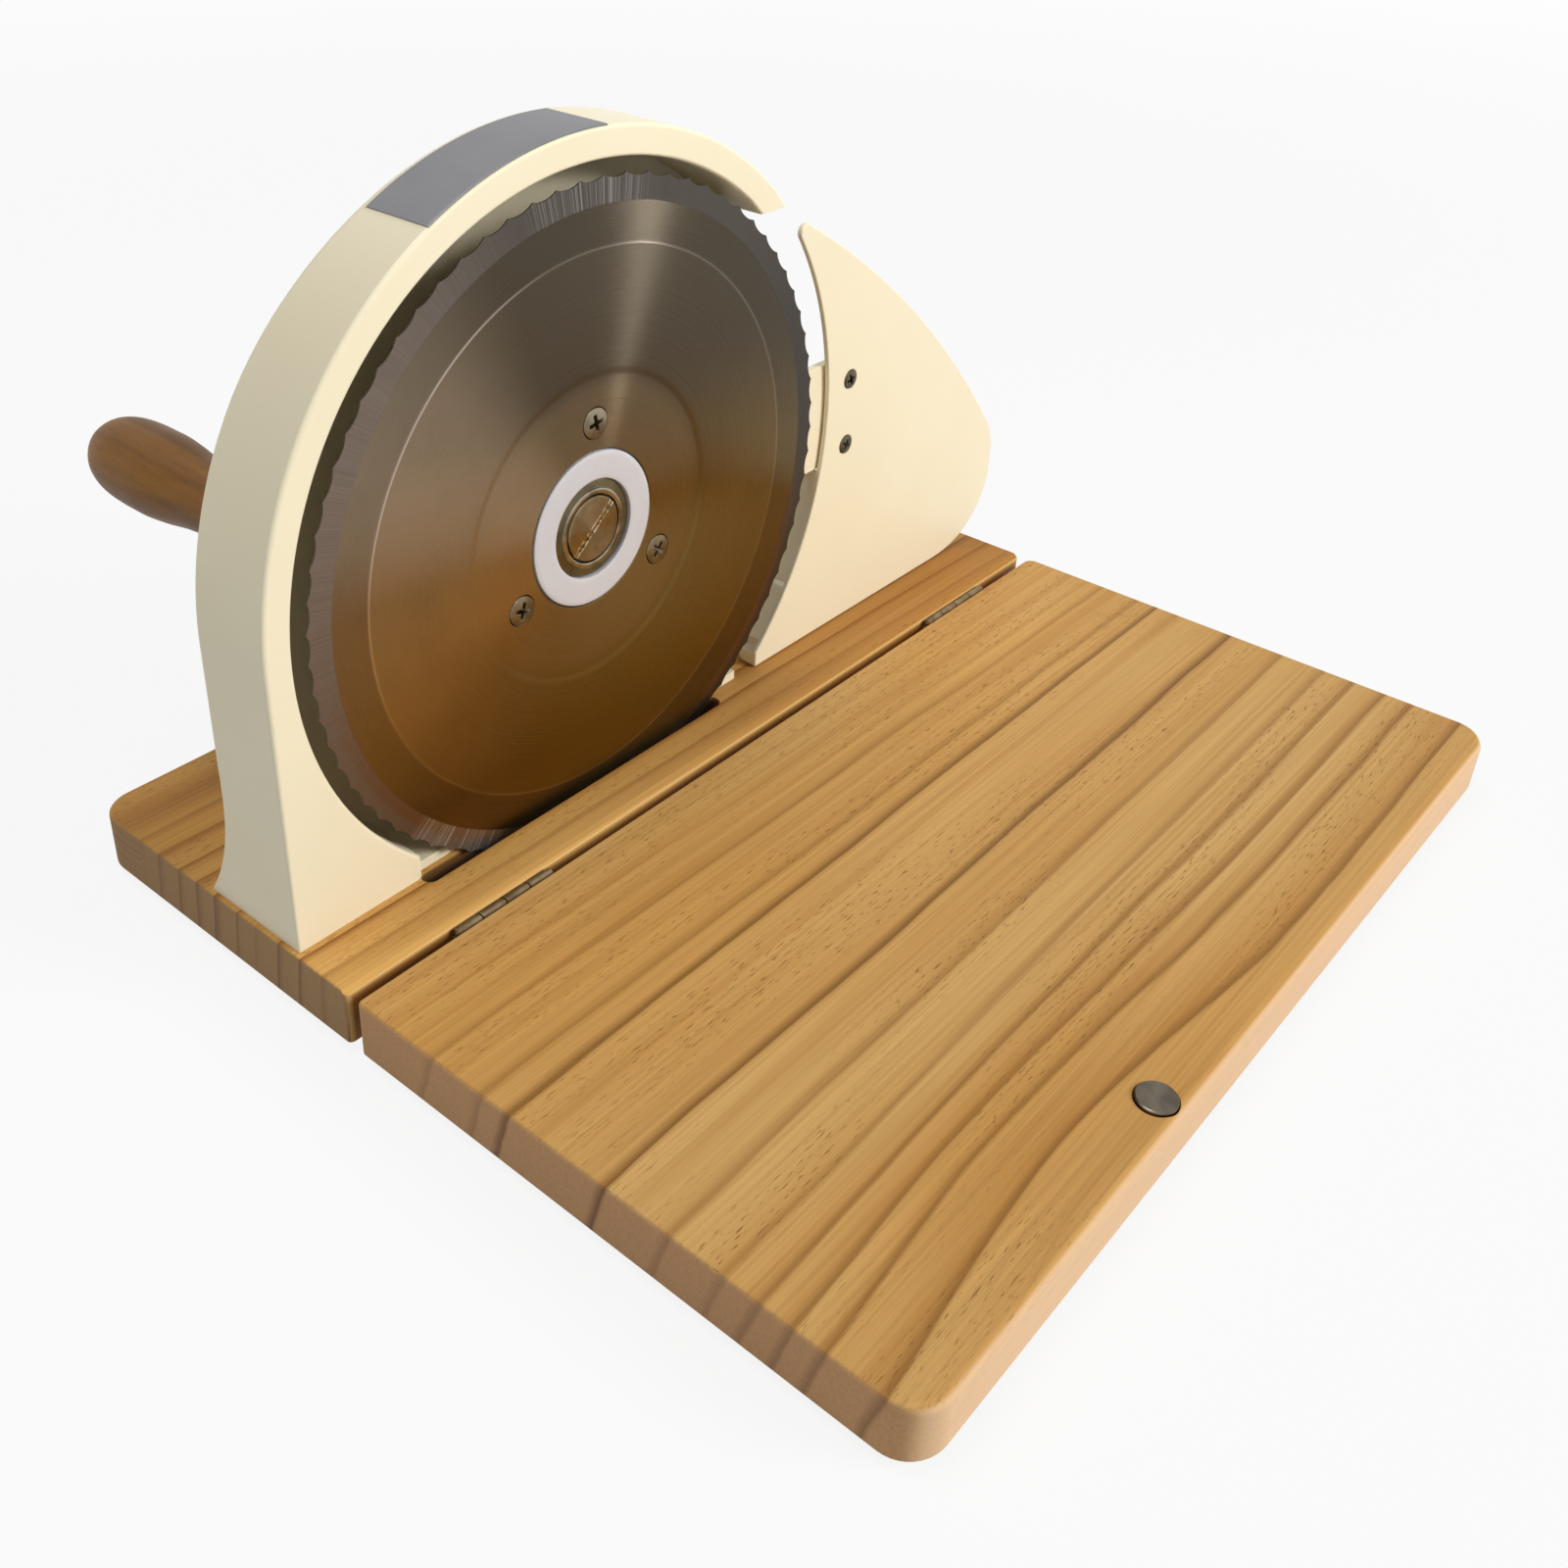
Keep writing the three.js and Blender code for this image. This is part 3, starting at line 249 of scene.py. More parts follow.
# %% [markdown]
# ## Everyday shader moves
# Colours are picked as a painter reads them off a swatch, from 0 to 255, and turned into the
# linear light that shaders work in. The rest are the moves that most finishes share: mixing two
# colours, stretching space so that noise becomes grain, a soft step, a stripe a few millimetres
# wide, a bump, and the closing of the finish.


def swatch(red, green, blue):
    def linear(value):
        share = value / 255
        return share / 12.92 if share <= 0.04045 else ((share + 0.055) / 1.055) ** 2.4
    return (linear(red), linear(green), linear(blue), 1)


def new_finish(name):
    sheet = Sheet(bpy.data.materials.new(name))
    return sheet


def mix(sheet, share, first, second, blend="MIX"):
    settings = {"data_type": "RGBA", "blend_type": blend}
    return sheet.node("ShaderNodeMix", settings, {0: share, 6: first, 7: second}, 2)


print("a cream swatch in linear light", [round(v, 3) for v in swatch(248, 238, 206)])

# %% Noise, steps and bumps
def stretched(sheet, place, stretch):
    return sheet.node("ShaderNodeVectorMath", {"operation": "MULTIPLY"}, {0: place, 1: stretch})


def noise(sheet, place, scale, detail=2.0, rough=0.5):
    sockets = {"Vector": place, "Scale": scale, "Detail": detail, "Roughness": rough}
    return sheet.node("ShaderNodeTexNoise", {}, sockets)


def grain(sheet, place, stretch, detail=2.0, rough=0.5):
    return noise(sheet, stretched(sheet, place, stretch), 1.0, detail, rough)


def line_noise(sheet, value, detail=2.0):
    sockets = {"W": value, "Scale": 1.0, "Detail": detail}
    return sheet.node("ShaderNodeTexNoise", {"noise_dimensions": "1D"}, sockets)


def step(sheet, value, low, high):
    settings = {"interpolation_type": "SMOOTHSTEP"}
    return sheet.node("ShaderNodeMapRange", settings, {0: value, 1: low, 2: high})


def stripe(sheet, value, centre, half, soft):
    return step(sheet, half * MM - (value - centre * MM).size(), 0.0, soft * MM)


def bump(sheet, height, strength, distance):
    sockets = {"Height": height, "Strength": strength, "Distance": distance}
    return sheet.node("ShaderNodeBump", {}, sockets)


print("moves ready:", [move.__name__ for move in (mix, grain, step, stripe, bump)])

# %% Closing a finish
def close(sheet, shader):
    sheet.node("ShaderNodeOutputMaterial", {}, {"Surface": shader})
    print("finish", sheet.holder.name, "of", len(sheet.tree.nodes), "nodes")
    return sheet.holder


def seal(sheet, sockets):
    return close(sheet, sheet.node("ShaderNodeBsdfPrincipled", {}, sockets))


def place_of(sheet):
    return sheet.node("ShaderNodeTexCoord", {}, {}, "Object")


def parts_of(sheet, vector):
    split = sheet.node("ShaderNodeSeparateXYZ", {}, {0: vector})
    return split, split.out("Y"), split.out("Z")


# %% [markdown]
# ## Pine
# The boards are finger-wide pine laths glued edge to edge, sawn so that the growth rings cross
# the end grain almost upright and run as long lines over the top. A flat stripe pattern would
# break at the edges, so the figure is a solid: a depth across the rings is worked out for each
# point in space, and top, ends and edges all show the same tree. Each ring goes from pale early
# wood to dark late wood and then stops sharply. The first list gives where rings end on the feed
# board, and how dark the line there is.

# %% Growth rings
FEED_RINGS = [
    (5, 0), (14, 0), (21, 0), (28, 0.35), (35, 0), (44.5, 0.40), (53, 1.00), (63, 0),
    (83, 1.00), (101.5, 0.45), (116.5, 0.38), (126.5, 0.55), (136, 0.60), (145, 0.65), (160, 0.70),
]
RING_REACH, RING_FALL, LAST_RING = 170.0, 0.8, 0.6
LINE_RISE, LINE_FALL = 2.6, 0.9


def ring_stops(rings):
    stops = [(0.0, 0.0)]
    for depth, _ in rings:
        stops.append((depth / RING_REACH, 1.0))
        stops.append(((depth + RING_FALL) / RING_REACH, 0.0))
    return stops + [(1.0, LAST_RING)]


def line_stops(rings):
    stops = [(0.0, 0.0)]
    for depth, dark in rings:
        if dark:
            stops.append(((depth - LINE_RISE) / RING_REACH, 0.0))
            stops.append((depth / RING_REACH, dark))
            stops.append(((depth + LINE_FALL) / RING_REACH, 0.0))
    return stops + [(1.0, 0.0)]


print("rings drawn on the feed board:", len(FEED_RINGS))

# %% [markdown]
# Between the rings the wood is all fibres, which are noise drawn out along the board, with short
# dark resin ducts in belts. The sawn ends cut across the fibres, so they are told apart by the
# direction that they face, and get tints of their own.

# %% Fibres and end grain
def fibres(sheet, place):
    fine = grain(sheet, place, (10, 1000, 1000), 3.0, 0.6)
    broad = grain(sheet, place, (5, 150, 150))
    ducts = grain(sheet, place, (240, 1900, 1900), 1.0)
    belts = grain(sheet, place, (6, 60, 60), 1.0)
    return fine, broad, step(sheet, ducts, 0.62, 0.70) * step(sheet, belts, 0.42, 0.60)


def facing(sheet):
    return parts_of(sheet, sheet.node("ShaderNodeTexCoord", {}, {}, "Normal"))


def end_grain(sheet):
    return step(sheet, facing(sheet)[0].size(), 0.55, 0.9)


def close_pine(sheet, place, rise, line, patch, tints, painted_light_and_dirt):
    fine, broad, ducts = fibres(sheet, place)
    body = mix(sheet, step(sheet, patch, 0.3, 0.7), tints["light"], tints["warm"])
    body = mix(sheet, (broad - 0.5).most(0.0) * 1.3, body, tints["honey"])
    body = mix(sheet, rise, body, tints["honey"])
    body = mix(sheet, line * 0.85, body, tints["dark"])
    body = mix(sheet, (fine - 0.36).most(0.0) * 0.75, body, tints["dark"])
    body = mix(sheet, ducts * 0.65, body, tints["dark"])
    ends = end_grain(sheet)
    sawn = mix(sheet, line * 0.90, tints["sawn"], tints["sawn_line"])
    sawn = mix(sheet, (fine - 0.4).most(0.0) * 0.5, sawn, tints["sawn_line"])
    body = mix(sheet, ends, body, sawn)
    # the last tints: painted highlights, painted shade and darkening from dirt
    for share, colour in painted_light_and_dirt:
        body = mix(sheet, share, body, colour)
    rough = 0.50 + 0.16 * ends + 0.12 * (fine - 0.5) - 0.06 * line
    height = fine * 0.5 - line * 0.3 - ducts
    return seal(sheet, {
        "Base Color": body,
        "Roughness": rough,
        "Normal": bump(sheet, height, 0.22, 0.0004),
        "Specular IOR Level": 0.16,
    })


print("darkest line at the end of a ring", max(dark for _, dark in FEED_RINGS))

# %% [markdown]
# The rings of the feed board lean a little, and near its front edge they rise over a hump where a
# branch once grew. Both are small shifts of the depth, added before the rings are looked up. Its
# front face, towards the key lamp, gets a painted highlight that makes it paler.

# %% Feed board pine
BOARD_LENGTH = (feed_high - feed_low).x
HUMP_X, HUMP_WIDTH, HUMP_RISE = 0.078, 0.068, 10.5
sheet = new_finish("feed_pine")
place = place_of(sheet)
x, y, z = parts_of(sheet, place)
depth = (y + 0.3 * z) / -MM
lean = (5.5 - 0.18 * (depth - 14)).most(-3.5) * x / BOARD_LENGTH
across = (x - HUMP_X) / HUMP_WIDTH
hump = HUMP_RISE * step(sheet, depth, 112, 152) * math.e ** (across * across * -1)
wander = grain(sheet, place, (7, 22, 22), 3.0) - 0.5
ripple = grain(sheet, place, (30, 160, 160)) - 0.5
depth = depth - lean + hump + wander * 5.0 + ripple * 0.9
saw, line = [
    sheet.node("ShaderNodeValToRGB", {"stops": stops}, {0: depth / RING_REACH})
    for stops in (ring_stops(FEED_RINGS), line_stops(FEED_RINGS))
]
hairline = line_noise(sheet, depth * 0.42, 3.0)
saw = (saw + 0.9 * (hairline - 0.55).most(0.0)).least(1.0)
rise = saw * saw * (0.30 + 0.30 * step(sheet, depth, 108, 135))
# painted highlight: faces towards the front, where the key lamp falls, are painted paler
front = step(sheet, facing(sheet)[1] * -1, 0.45, 0.85)
patch = grain(sheet, place, (3, 14, 14))
# the last list holds the painted highlight on the front face
feed_pine = close_pine(sheet, place, rise, line, patch, {
    "light": swatch(216, 174, 110),
    "warm": swatch(205, 155, 86),
    "honey": swatch(168, 110, 46),
    "dark": swatch(112, 71, 26),
    "sawn": swatch(206, 160, 114),
    "sawn_line": swatch(112, 74, 48),
}, [(front * 0.6, swatch(244, 208, 170))])

# %% [markdown]
# The base board is cut from another lath: its rings stand closer and straighter, and the varnish
# there is more golden. Its rings repeat at a step that wanders, each with a strength of its own,
# and in its last lath, along the back edge, they lie flatter and arch about a heart of their own.
# A painted highlight pales the edge along the hinge, painted shade from the guard and the plate
# darkens the strip in front of the blade, and the walls of the blade's slot were left raw, hold
# crumbs and carry painted shade.

# %% Base board pine
SLOT_LEFT, SLOT_RIGHT, SLOT_FRONT, SLOT_BACK = 41.2, 161.8, 20.4, 25.8
RING_STEP, LAST_LATH, LAST_LATH_HEART = 8.8, 92.5, 98.0
sheet = new_finish("base_pine")
place = place_of(sheet)
x, y, z = parts_of(sheet, place)
wander = grain(sheet, place, (4, 16, 16), 3.0) - 0.5
strip = step(sheet, y, LAST_LATH * MM, (LAST_LATH + 1) * MM)
rise = z * (1 + 2.6 * strip) + strip * ((y - LAST_LATH_HEART * MM) ** 2.0) * -40
depth = y * (1 - 0.8 * strip) + rise * 0.12 * (1 + 6 * strip) + x * 0.012 + wander * 0.007
ring = depth / (RING_STEP * MM) + line_noise(sheet, depth * 60) * 0.8
share = sheet.node("ShaderNodeMath", {"operation": "FRACT"}, {0: ring})
own = sheet.node("ShaderNodeTexWhiteNoise", {"noise_dimensions": "1D"}, {"W": ring - share})
saw = step(sheet, share, 0.1, 0.95) * step(sheet, 1 - share, 0.0, 0.06)
dark = 0.25 + 0.60 * own
patch = grain(sheet, place, (5, 18, 18))
# painted shade of the guard and the plate on the strip in front of the blade
painted_guard_shade = step(sheet, x, 0.06, 0.20) * step(sheet, y, 0.040, 0.020)
# painted highlight along the rounded edge by the hinge gap
painted_hinge_edge_highlight = stripe(sheet, y, 4.2, 0.38, 0.25)
corner = step(sheet, z, -2.2 * MM, -1.6 * MM).most(step(sheet, x, 2.2 * MM, 1.4 * MM))
slot_x, slot_half_length = (SLOT_LEFT + SLOT_RIGHT) / 2, (SLOT_RIGHT - SLOT_LEFT) / 2
slot_y, slot_half_width = (SLOT_FRONT + SLOT_BACK) / 2, (SLOT_BACK - SLOT_FRONT) / 2
# the slot walls: raw wood and crumbs, darkened further by painted shade in the recess
slot_dirt_and_shade = stripe(sheet, y, slot_y, slot_half_width + 0.9, 0.8) * step(sheet, z, -0.6 * MM, -1.6 * MM)
slot_dirt_and_shade = slot_dirt_and_shade * stripe(sheet, x, slot_x, slot_half_length + 3.7, 2)
base_pine = close_pine(sheet, place, saw * saw * dark * 0.55, saw ** 7.0 * dark, patch, {
    "light": swatch(220, 172, 100),
    "warm": swatch(200, 147, 74),
    "honey": swatch(168, 110, 46),
    "dark": swatch(116, 66, 22),
    "sawn": swatch(172, 138, 96),
    "sawn_line": swatch(116, 80, 52),
}, [
    (painted_guard_shade * 0.45, swatch(146, 90, 34)),
    (painted_hinge_edge_highlight * corner * 0.45, swatch(244, 206, 136)),
    (slot_dirt_and_shade * 0.8, swatch(70, 42, 16)),
])

# %% [markdown]
# ## Enamel, steel and the small finishes
# The castings carry a thick cream enamel. It could be one plain colour, but sprayed enamel pools
# a little and shows a faint orange peel, so the colour drifts slowly, the roughness drifts with
# it, and a very low bump breaks up the highlights.

# %% Cream enamel
sheet = new_finish("sprayed_cream")
place = place_of(sheet)
drift = noise(sheet, place, 22.0, 3.0)
peel = noise(sheet, place, 900.0, 2.0)
specks = step(sheet, noise(sheet, place, 1500.0, 1.0), 0.76, 0.82)
body = mix(sheet, drift, swatch(250, 241, 211), swatch(244, 232, 198))
body = mix(sheet, specks * 0.22, body, swatch(188, 172, 132))
cream = seal(sheet, {
    "Base Color": body,
    "Roughness": 0.36 + 0.14 * drift,
    "Normal": bump(sheet, peel, 0.10, 0.0002),
    "Specular IOR Level": 0.4,
})

# %% [markdown]
# The blade is rolled steel, brushed in circles on a turntable and then ground to an edge. Brushed
# metal stretches a highlight across the brush lines. An image of lines could be mapped on, but
# the shader's anisotropy does it from the axis of the disc: with no tangent given, the direction
# runs round the object's own Z axis, which is why turned pieces here are built about their local
# Z. The fine grooves are a noise of the radius alone. The ground bevel is a second steel, mixed
# in beyond its start: it was filed from the middle outwards, so its streaks depend on the angle
# alone and it has no such highlight. The disc stands over oiled pine, and its colour carries a
# painted reflection: cool above and warm below, from the pine. A painted sheen makes it paler at
# the left, and a painted highlight lies on the pressed ridge at its upper left. The bevel gets
# painted shade on its right, a painted warm reflection low down and painted highlights at its top
# and lower left. This painted light belongs to the surroundings, so it is looked up by place in
# the room, not on the disc, and it stays where it is while the blade turns.

# %% Blade steel
BLADE_BEVEL_START, RIDGE = 88.0, 77.3
sheet = new_finish("brushed_blade")
place = place_of(sheet)
x, y, _ = parts_of(sheet, place)
radius = (x * x + y * y) ** 0.5
hub = at(*middle("blade"))
room_x, _, room_z = parts_of(sheet, sheet.node("ShaderNodeNewGeometry", {}, {}, "Position"))
rise = room_z - hub.z
toward, above = (room_x - hub.x) / radius, rise / radius
around = stretched(sheet, place, (1, 1, 0))
around = sheet.node("ShaderNodeVectorMath", {"operation": "NORMALIZE"}, {0: around})
grooves = line_noise(sheet, radius * 9000, 2.0)
bands = line_noise(sheet, radius * 1500, 3.0)
streaks = noise(sheet, around, 230.0, 3.0, 0.7)
smears = noise(sheet, place, 40.0, 4.0, 0.6)
bevel_start, ridge_radius = BLADE_BEVEL_START * MM, RIDGE * MM
ground = step(sheet, radius, bevel_start - 0.3 * MM, bevel_start + 0.3 * MM)
ridge = stripe(sheet, radius, RIDGE, 0.45, 0.35)
print("blade hub in m", [round(v, 3) for v in hub], "ridge at mm", RIDGE)

# %% Brushed face of the blade
# painted reflection: cool tones above, warm and deep tones from the pine below, mixed by height in
# the room
cool = mix(sheet, bands, swatch(94, 86, 73), swatch(79, 72, 60))
warm = mix(sheet, bands, swatch(144, 123, 79), swatch(120, 102, 61))
deep = mix(sheet, bands, swatch(134, 103, 36), swatch(113, 84, 27))
below = step(sheet, rise, 0.6 * ridge_radius, -0.25 * ridge_radius)
brushed = mix(sheet, below, cool, warm)
lowest = step(sheet, rise, -0.2 * ridge_radius, -0.85 * ridge_radius)
brushed = mix(sheet, lowest, brushed, deep)
# painted sheen: the left side of the disc is painted paler
left = step(sheet, toward * -1, 0.32, 1.0) * (0.70 - 0.45 * step(sheet, above, -0.2, -0.7))
brushed = mix(sheet, left, brushed, swatch(184, 166, 142))
outside = step(sheet, radius, ridge_radius, ridge_radius + MM)
brushed = mix(sheet, outside * 0.30, brushed, swatch(64, 57, 47))
brushed = mix(sheet, (smears - 0.45).most(0.0) * 0.6, brushed, swatch(84, 70, 50))
brushed = mix(sheet, step(sheet, radius, 45 * MM, 38 * MM) * 0.18, brushed, swatch(176, 148, 112))
# painted highlight on the pressed ridge, strongest at its upper left
shine = 0.12 + 0.5 * step(sheet, above * 0.45 - toward * 0.89, 0.6, 0.95)
brushed = mix(sheet, ridge * shine, brushed, swatch(216, 204, 194))
print("nodes so far", len(sheet.tree.nodes))

# %% Ground bevel of the blade
scraped = mix(sheet, streaks, swatch(156, 143, 132), swatch(110, 99, 90))
# painted shade: the right side of the bevel is painted darker
bevelled = mix(sheet, step(sheet, toward, -1.0, -0.1), scraped, swatch(80, 75, 69))
# painted reflection of the pine on the low side of the bevel
painted_bevel_reflection = step(sheet, above, 0.1, -0.8) * (0.15 + 0.6 * step(sheet, radius, 92.5 * MM, 90.0 * MM))
bevelled = mix(sheet, painted_bevel_reflection, bevelled, swatch(132, 94, 50))
file_marks = step(sheet, streaks, 0.48, 0.7)
# painted highlights on the bevel near the top and at its lower left
painted_lower_left_glint = step(sheet, above * -0.81 - toward * 0.59, 0.980, 0.992)
lit = step(sheet, above, 0.96, 1.0).most(painted_lower_left_glint) * file_marks
bevelled = mix(sheet, lit * 0.55, bevelled, swatch(206, 202, 196))
print("nodes so far", len(sheet.tree.nodes))

# %% The two steels of the blade
polished = sheet.node("ShaderNodeBsdfPrincipled", {}, {
    "Base Color": brushed,
    "Metallic": 1.0,
    "Roughness": 0.23 + 0.08 * (grooves - 0.5) + 0.05 * smears,
    "Anisotropic": 1.0,
    "Anisotropic Rotation": 0.25,
    "Normal": bump(sheet, grooves, 0.03, 0.0002),
})
filed = sheet.node("ShaderNodeBsdfPrincipled", {}, {
    "Base Color": bevelled,
    # the painted glint at the lower left also lowers the metallic share
    "Metallic": 1 - 0.8 * painted_lower_left_glint * (0.3 + 0.7 * file_marks),
    "Roughness": 0.42 + 0.20 * streaks,
    "Normal": bump(sheet, streaks, 0.12, 0.0002),
})
both = sheet.node("ShaderNodeMixShader", {}, {0: ground, 1: polished, 2: filed})
blade_steel = close(sheet, both)

# %% [markdown]
# Screws, hinges, nuts and the crank arm are plated steel: brighter, a little uneven, with darker
# dirt. The magnet is nickel with fine scratches, and the bush is bronze. One function makes all
# of them from two tints and a roughness, because only those differ. The wide hub screw alone gets
# a painted highlight: the edges of its slot are painted bright in a broken line.

# %% Plated metals
def plated(
    name, bright, dull, rough, scratch,
    turned_face=0.0, painted_highlight=None, uneven=0.16,
):
    sheet = new_finish(name)
    place = place_of(sheet)
    cloud = noise(sheet, place, 160.0, 4.0, 0.6)
    wiped = grain(sheet, place, (2600, 420, 420))
    body = mix(sheet, step(sheet, cloud, 0.35, 0.7), swatch(*bright), swatch(*dull))
    # painted highlight, used on the edges of the hub screw's slot
    if painted_highlight:
        body = mix(sheet, painted_highlight(sheet, place), body, swatch(244, 232, 204))
    return seal(sheet, {
        "Base Color": body,
        "Metallic": 1.0,
        "Anisotropic": turned_face,
        "Anisotropic Rotation": 0.25,
        "Roughness": rough + uneven * (cloud - 0.5) + scratch * (wiped - 0.5),
        "Normal": bump(sheet, wiped, 0.05, 0.0001),
    })


SLOT_TURN = math.radians(40)


# painted highlight: a bright broken line along both edges of the slot
def painted_slot_highlight(sheet, place):
    x, y, _ = parts_of(sheet, place)
    away = (y * math.cos(SLOT_TURN) - x * math.sin(SLOT_TURN)).size()
    broken_line = step(sheet, noise(sheet, place, 900.0), 0.40, 0.55)
    return stripe(sheet, away, 0.75, 0.45, 0.3) * broken_line


print("slot of the hub screw turned by", round(math.degrees(SLOT_TURN)), "degrees")

# %% The metals in use
screw_steel = plated("plated_screw_steel", (186, 176, 162), (140, 130, 116), 0.30, 0.10)
arm_steel = plated("arm_steel", (178, 169, 156), (164, 155, 142), 0.36, 0.06, uneven=0.05)
dark_screw_steel = plated("dark_screw_steel", (112, 102, 84), (66, 58, 46), 0.34, 0.10)
blade_screw_steel = plated("blade_screw_steel", (152, 142, 120), (112, 102, 82), 0.32, 0.10)
hub_steel = plated(
    "turned_hub_steel", (154, 138, 108), (132, 114, 82), 0.30, 0.08,
    turned_face=0.9, painted_highlight=painted_slot_highlight,
)
lip_steel = plated("washer_lip_steel", (176, 166, 148), (112, 102, 84), 0.22, 0.06)
washer_steel = plated("washer_steel", (128, 122, 100), (102, 96, 78), 0.34, 0.10, turned_face=0.6)
hinge_steel = plated("hinge_steel", (158, 140, 110), (122, 102, 74), 0.55, 0.10)
nickel = plated("bright_nickel", (116, 107, 94), (90, 83, 74), 0.24, 0.14)
bronze = plated("bronze_bush", (190, 152, 86), (150, 112, 58), 0.36, 0.08)

# %% [markdown]
# The gear is white nylon, whose boss shows in the middle of the blade. Nylon lets light in a
# little way, so a trace of subsurface scattering softens it. The knob is black moulded plastic,
# the feet are rubber, and the plate on the rim is thin grey foil. Each is a body colour, a grain
# and a low bump.

# %% Nylon, plastic, rubber and foil
def moulded(name, body, shade, fineness, rough, height, fixed=()):
    sheet = new_finish(name)
    place = place_of(sheet)
    cloud = noise(sheet, place, 70.0, 3.0)
    texture = noise(sheet, place, fineness)
    colour = mix(sheet, cloud * 0.6 + texture * 0.3, swatch(*body), swatch(*shade))
    sockets = {
        "Base Color": colour,
        "Roughness": rough + 0.12 * (texture - 0.5),
        "Normal": bump(sheet, texture, height, 0.0002),
    }
    sockets.update(fixed)
    return seal(sheet, sockets)


soft = {"Subsurface Weight": 0.10, "Subsurface Scale": 0.002, "Subsurface Radius": (1.0, 1.0, 1.0)}
thin = {"Metallic": 0.25}
nylon = moulded(
    "moulded_nylon", (216, 214, 215), (200, 197, 199), 900.0, 0.40, 0.06, soft,
)
knob_plastic = moulded(
    "knob_plastic", (40, 39, 38), (30, 29, 28), 1400.0, 0.46, 0.15,
)
rubber = moulded(
    "foot_rubber", (38, 37, 36), (26, 26, 26), 1100.0, 0.80, 0.25,
)
foil = moulded(
    "plain_grey_foil", (138, 138, 141), (118, 118, 121), 1600.0, 0.52, 0.08, thin,
)

# %% [markdown]
# The grip is beech stained brown and turned on a lathe, with its grain along its own axis. The
# same kind of grain serves as on the boards, but it has to run along local Z, the axis it was
# turned about.

# %% Grip wood
sheet = new_finish("grip_wood")
place = place_of(sheet)
fine = grain(sheet, place, (900, 900, 12), 3.0, 0.6)
broad = grain(sheet, place, (130, 130, 6), 3.0)
flecks = step(sheet, grain(sheet, place, (1500, 1500, 240), 1.0), 0.66, 0.76)
body = mix(sheet, step(sheet, broad, 0.3, 0.7), swatch(146, 100, 44), swatch(106, 68, 27))
body = mix(sheet, (fine - 0.4).most(0.0) * 0.6, body, swatch(80, 50, 20))
body = mix(sheet, flecks * 0.4, body, swatch(90, 58, 32))
grip_wood = seal(sheet, {
    "Base Color": body,
    "Roughness": 0.48 + 0.14 * (fine - 0.5),
    "Normal": bump(sheet, fine - flecks * 0.6, 0.16, 0.0003),
    "Specular IOR Level": 0.25,
})

# %% [markdown]
# ## Building meshes
# Most pieces are one of three things in a workshop: something turned on a lathe, something sawn
# from a plate, or something whose section changes along its length. So there are three builders:
# a turned profile about local Z, a slab with an outline, and a loft through a row of rings. Each
# gives plain points and faces in millimetres, and several can go into one piece.

# %% Loft and saw
def loft(rings, closed=False):
    count = len(rings[0])
    points = [point for ring in rings for point in ring]
    faces = []
    for k in range(len(rings) if closed else len(rings) - 1):
        here = k * count
        there = (k + 1) % len(rings) * count
        for i in range(count):
            j = (i + 1) % count
            faces.append((here + i, here + j, there + j, there + i))
    if not closed:
        faces.append(tuple(range(count)))
        faces.append(tuple(range(len(points) - count, len(points))))
    return points, faces


def slab(outline, front, back):
    return loft([[(x, y, z) for x, z in outline] for y in (front, back)])


def upright(outline, low, high):
    return loft([[(x, y, z) for x, y in outline] for z in (low, high)])


def block(x0, x1, y0, y1, z0, z1):
    return slab([(x0, z0), (x1, z0), (x1, z1), (x0, z1)], y0, y1)


print("a block has", len(block(0, 1, 0, 1, 0, 1)[1]), "faces")

# %% The lathe
def turned(profile, steps=48):
    closed = profile[0] == profile[-1]
    points, faces, rows = [], [], []
    for radius, height in profile[:-1] if closed else profile:
        start = len(points)
        if radius < 1e-6:
            points.append((0, 0, height))
            rows.append([start] * steps)
        else:
            for i in range(steps):
                angle = 2 * math.pi * i / steps
                points.append((radius * math.cos(angle), radius * math.sin(angle), height))
            rows.append(list(range(start, start + steps)))
    if closed:
        rows.append(rows[0])
    for low, high in zip(rows, rows[1:]):
        for i in range(steps):
            j = (i + 1) % steps
            face = list(dict.fromkeys((low[i], low[j], high[j], high[i])))
            if len(face) > 2:
                faces.append(face)
    return points, faces


def arc(x, y, radius, start, end, steps):
    turns = [math.radians(start + (end - start) * i / steps) for i in range(steps + 1)]
    return [(x + radius * math.cos(turn), y + radius * math.sin(turn)) for turn in turns]


def posed(part, matrix):
    points, faces = part
    return [tuple(matrix @ Vector(point)) for point in points], faces


print("a turned disc has", len(turned([(0, 0), (5, 0), (5, 1), (0, 1)])[1]), "faces")

# %% [markdown]
# A piece is made in one call. The points go into a mesh, tools are cut out of it, sharp edges are
# broken as a file would break them, holes are drilled, and the piece rides on the body of its
# node. A bevel modifier could do the edges, but beveling in the mesh keeps the shape final and
# easy to measure.

# %% Cutting and breaking edges
FRONT = Matrix.Rotation(math.pi / 2, 4, "X")
BACK = Matrix.Rotation(-math.pi / 2, 4, "X")
RIGHT = Matrix.Rotation(math.pi / 2, 4, "Y")
DOWN = Matrix.Rotation(math.pi, 4, "X")


def raw_mesh(name, parts):
    shape = bmesh.new()
    for points, faces in parts:
        corners = [shape.verts.new(Vector(point) * MM) for point in points]
        for face in faces:
            shape.faces.new([corners[i] for i in face])
    bmesh.ops.recalc_face_normals(shape, faces=shape.faces)
    mesh = bpy.data.meshes.new(name)
    shape.to_mesh(mesh)
    shape.free()
    return mesh


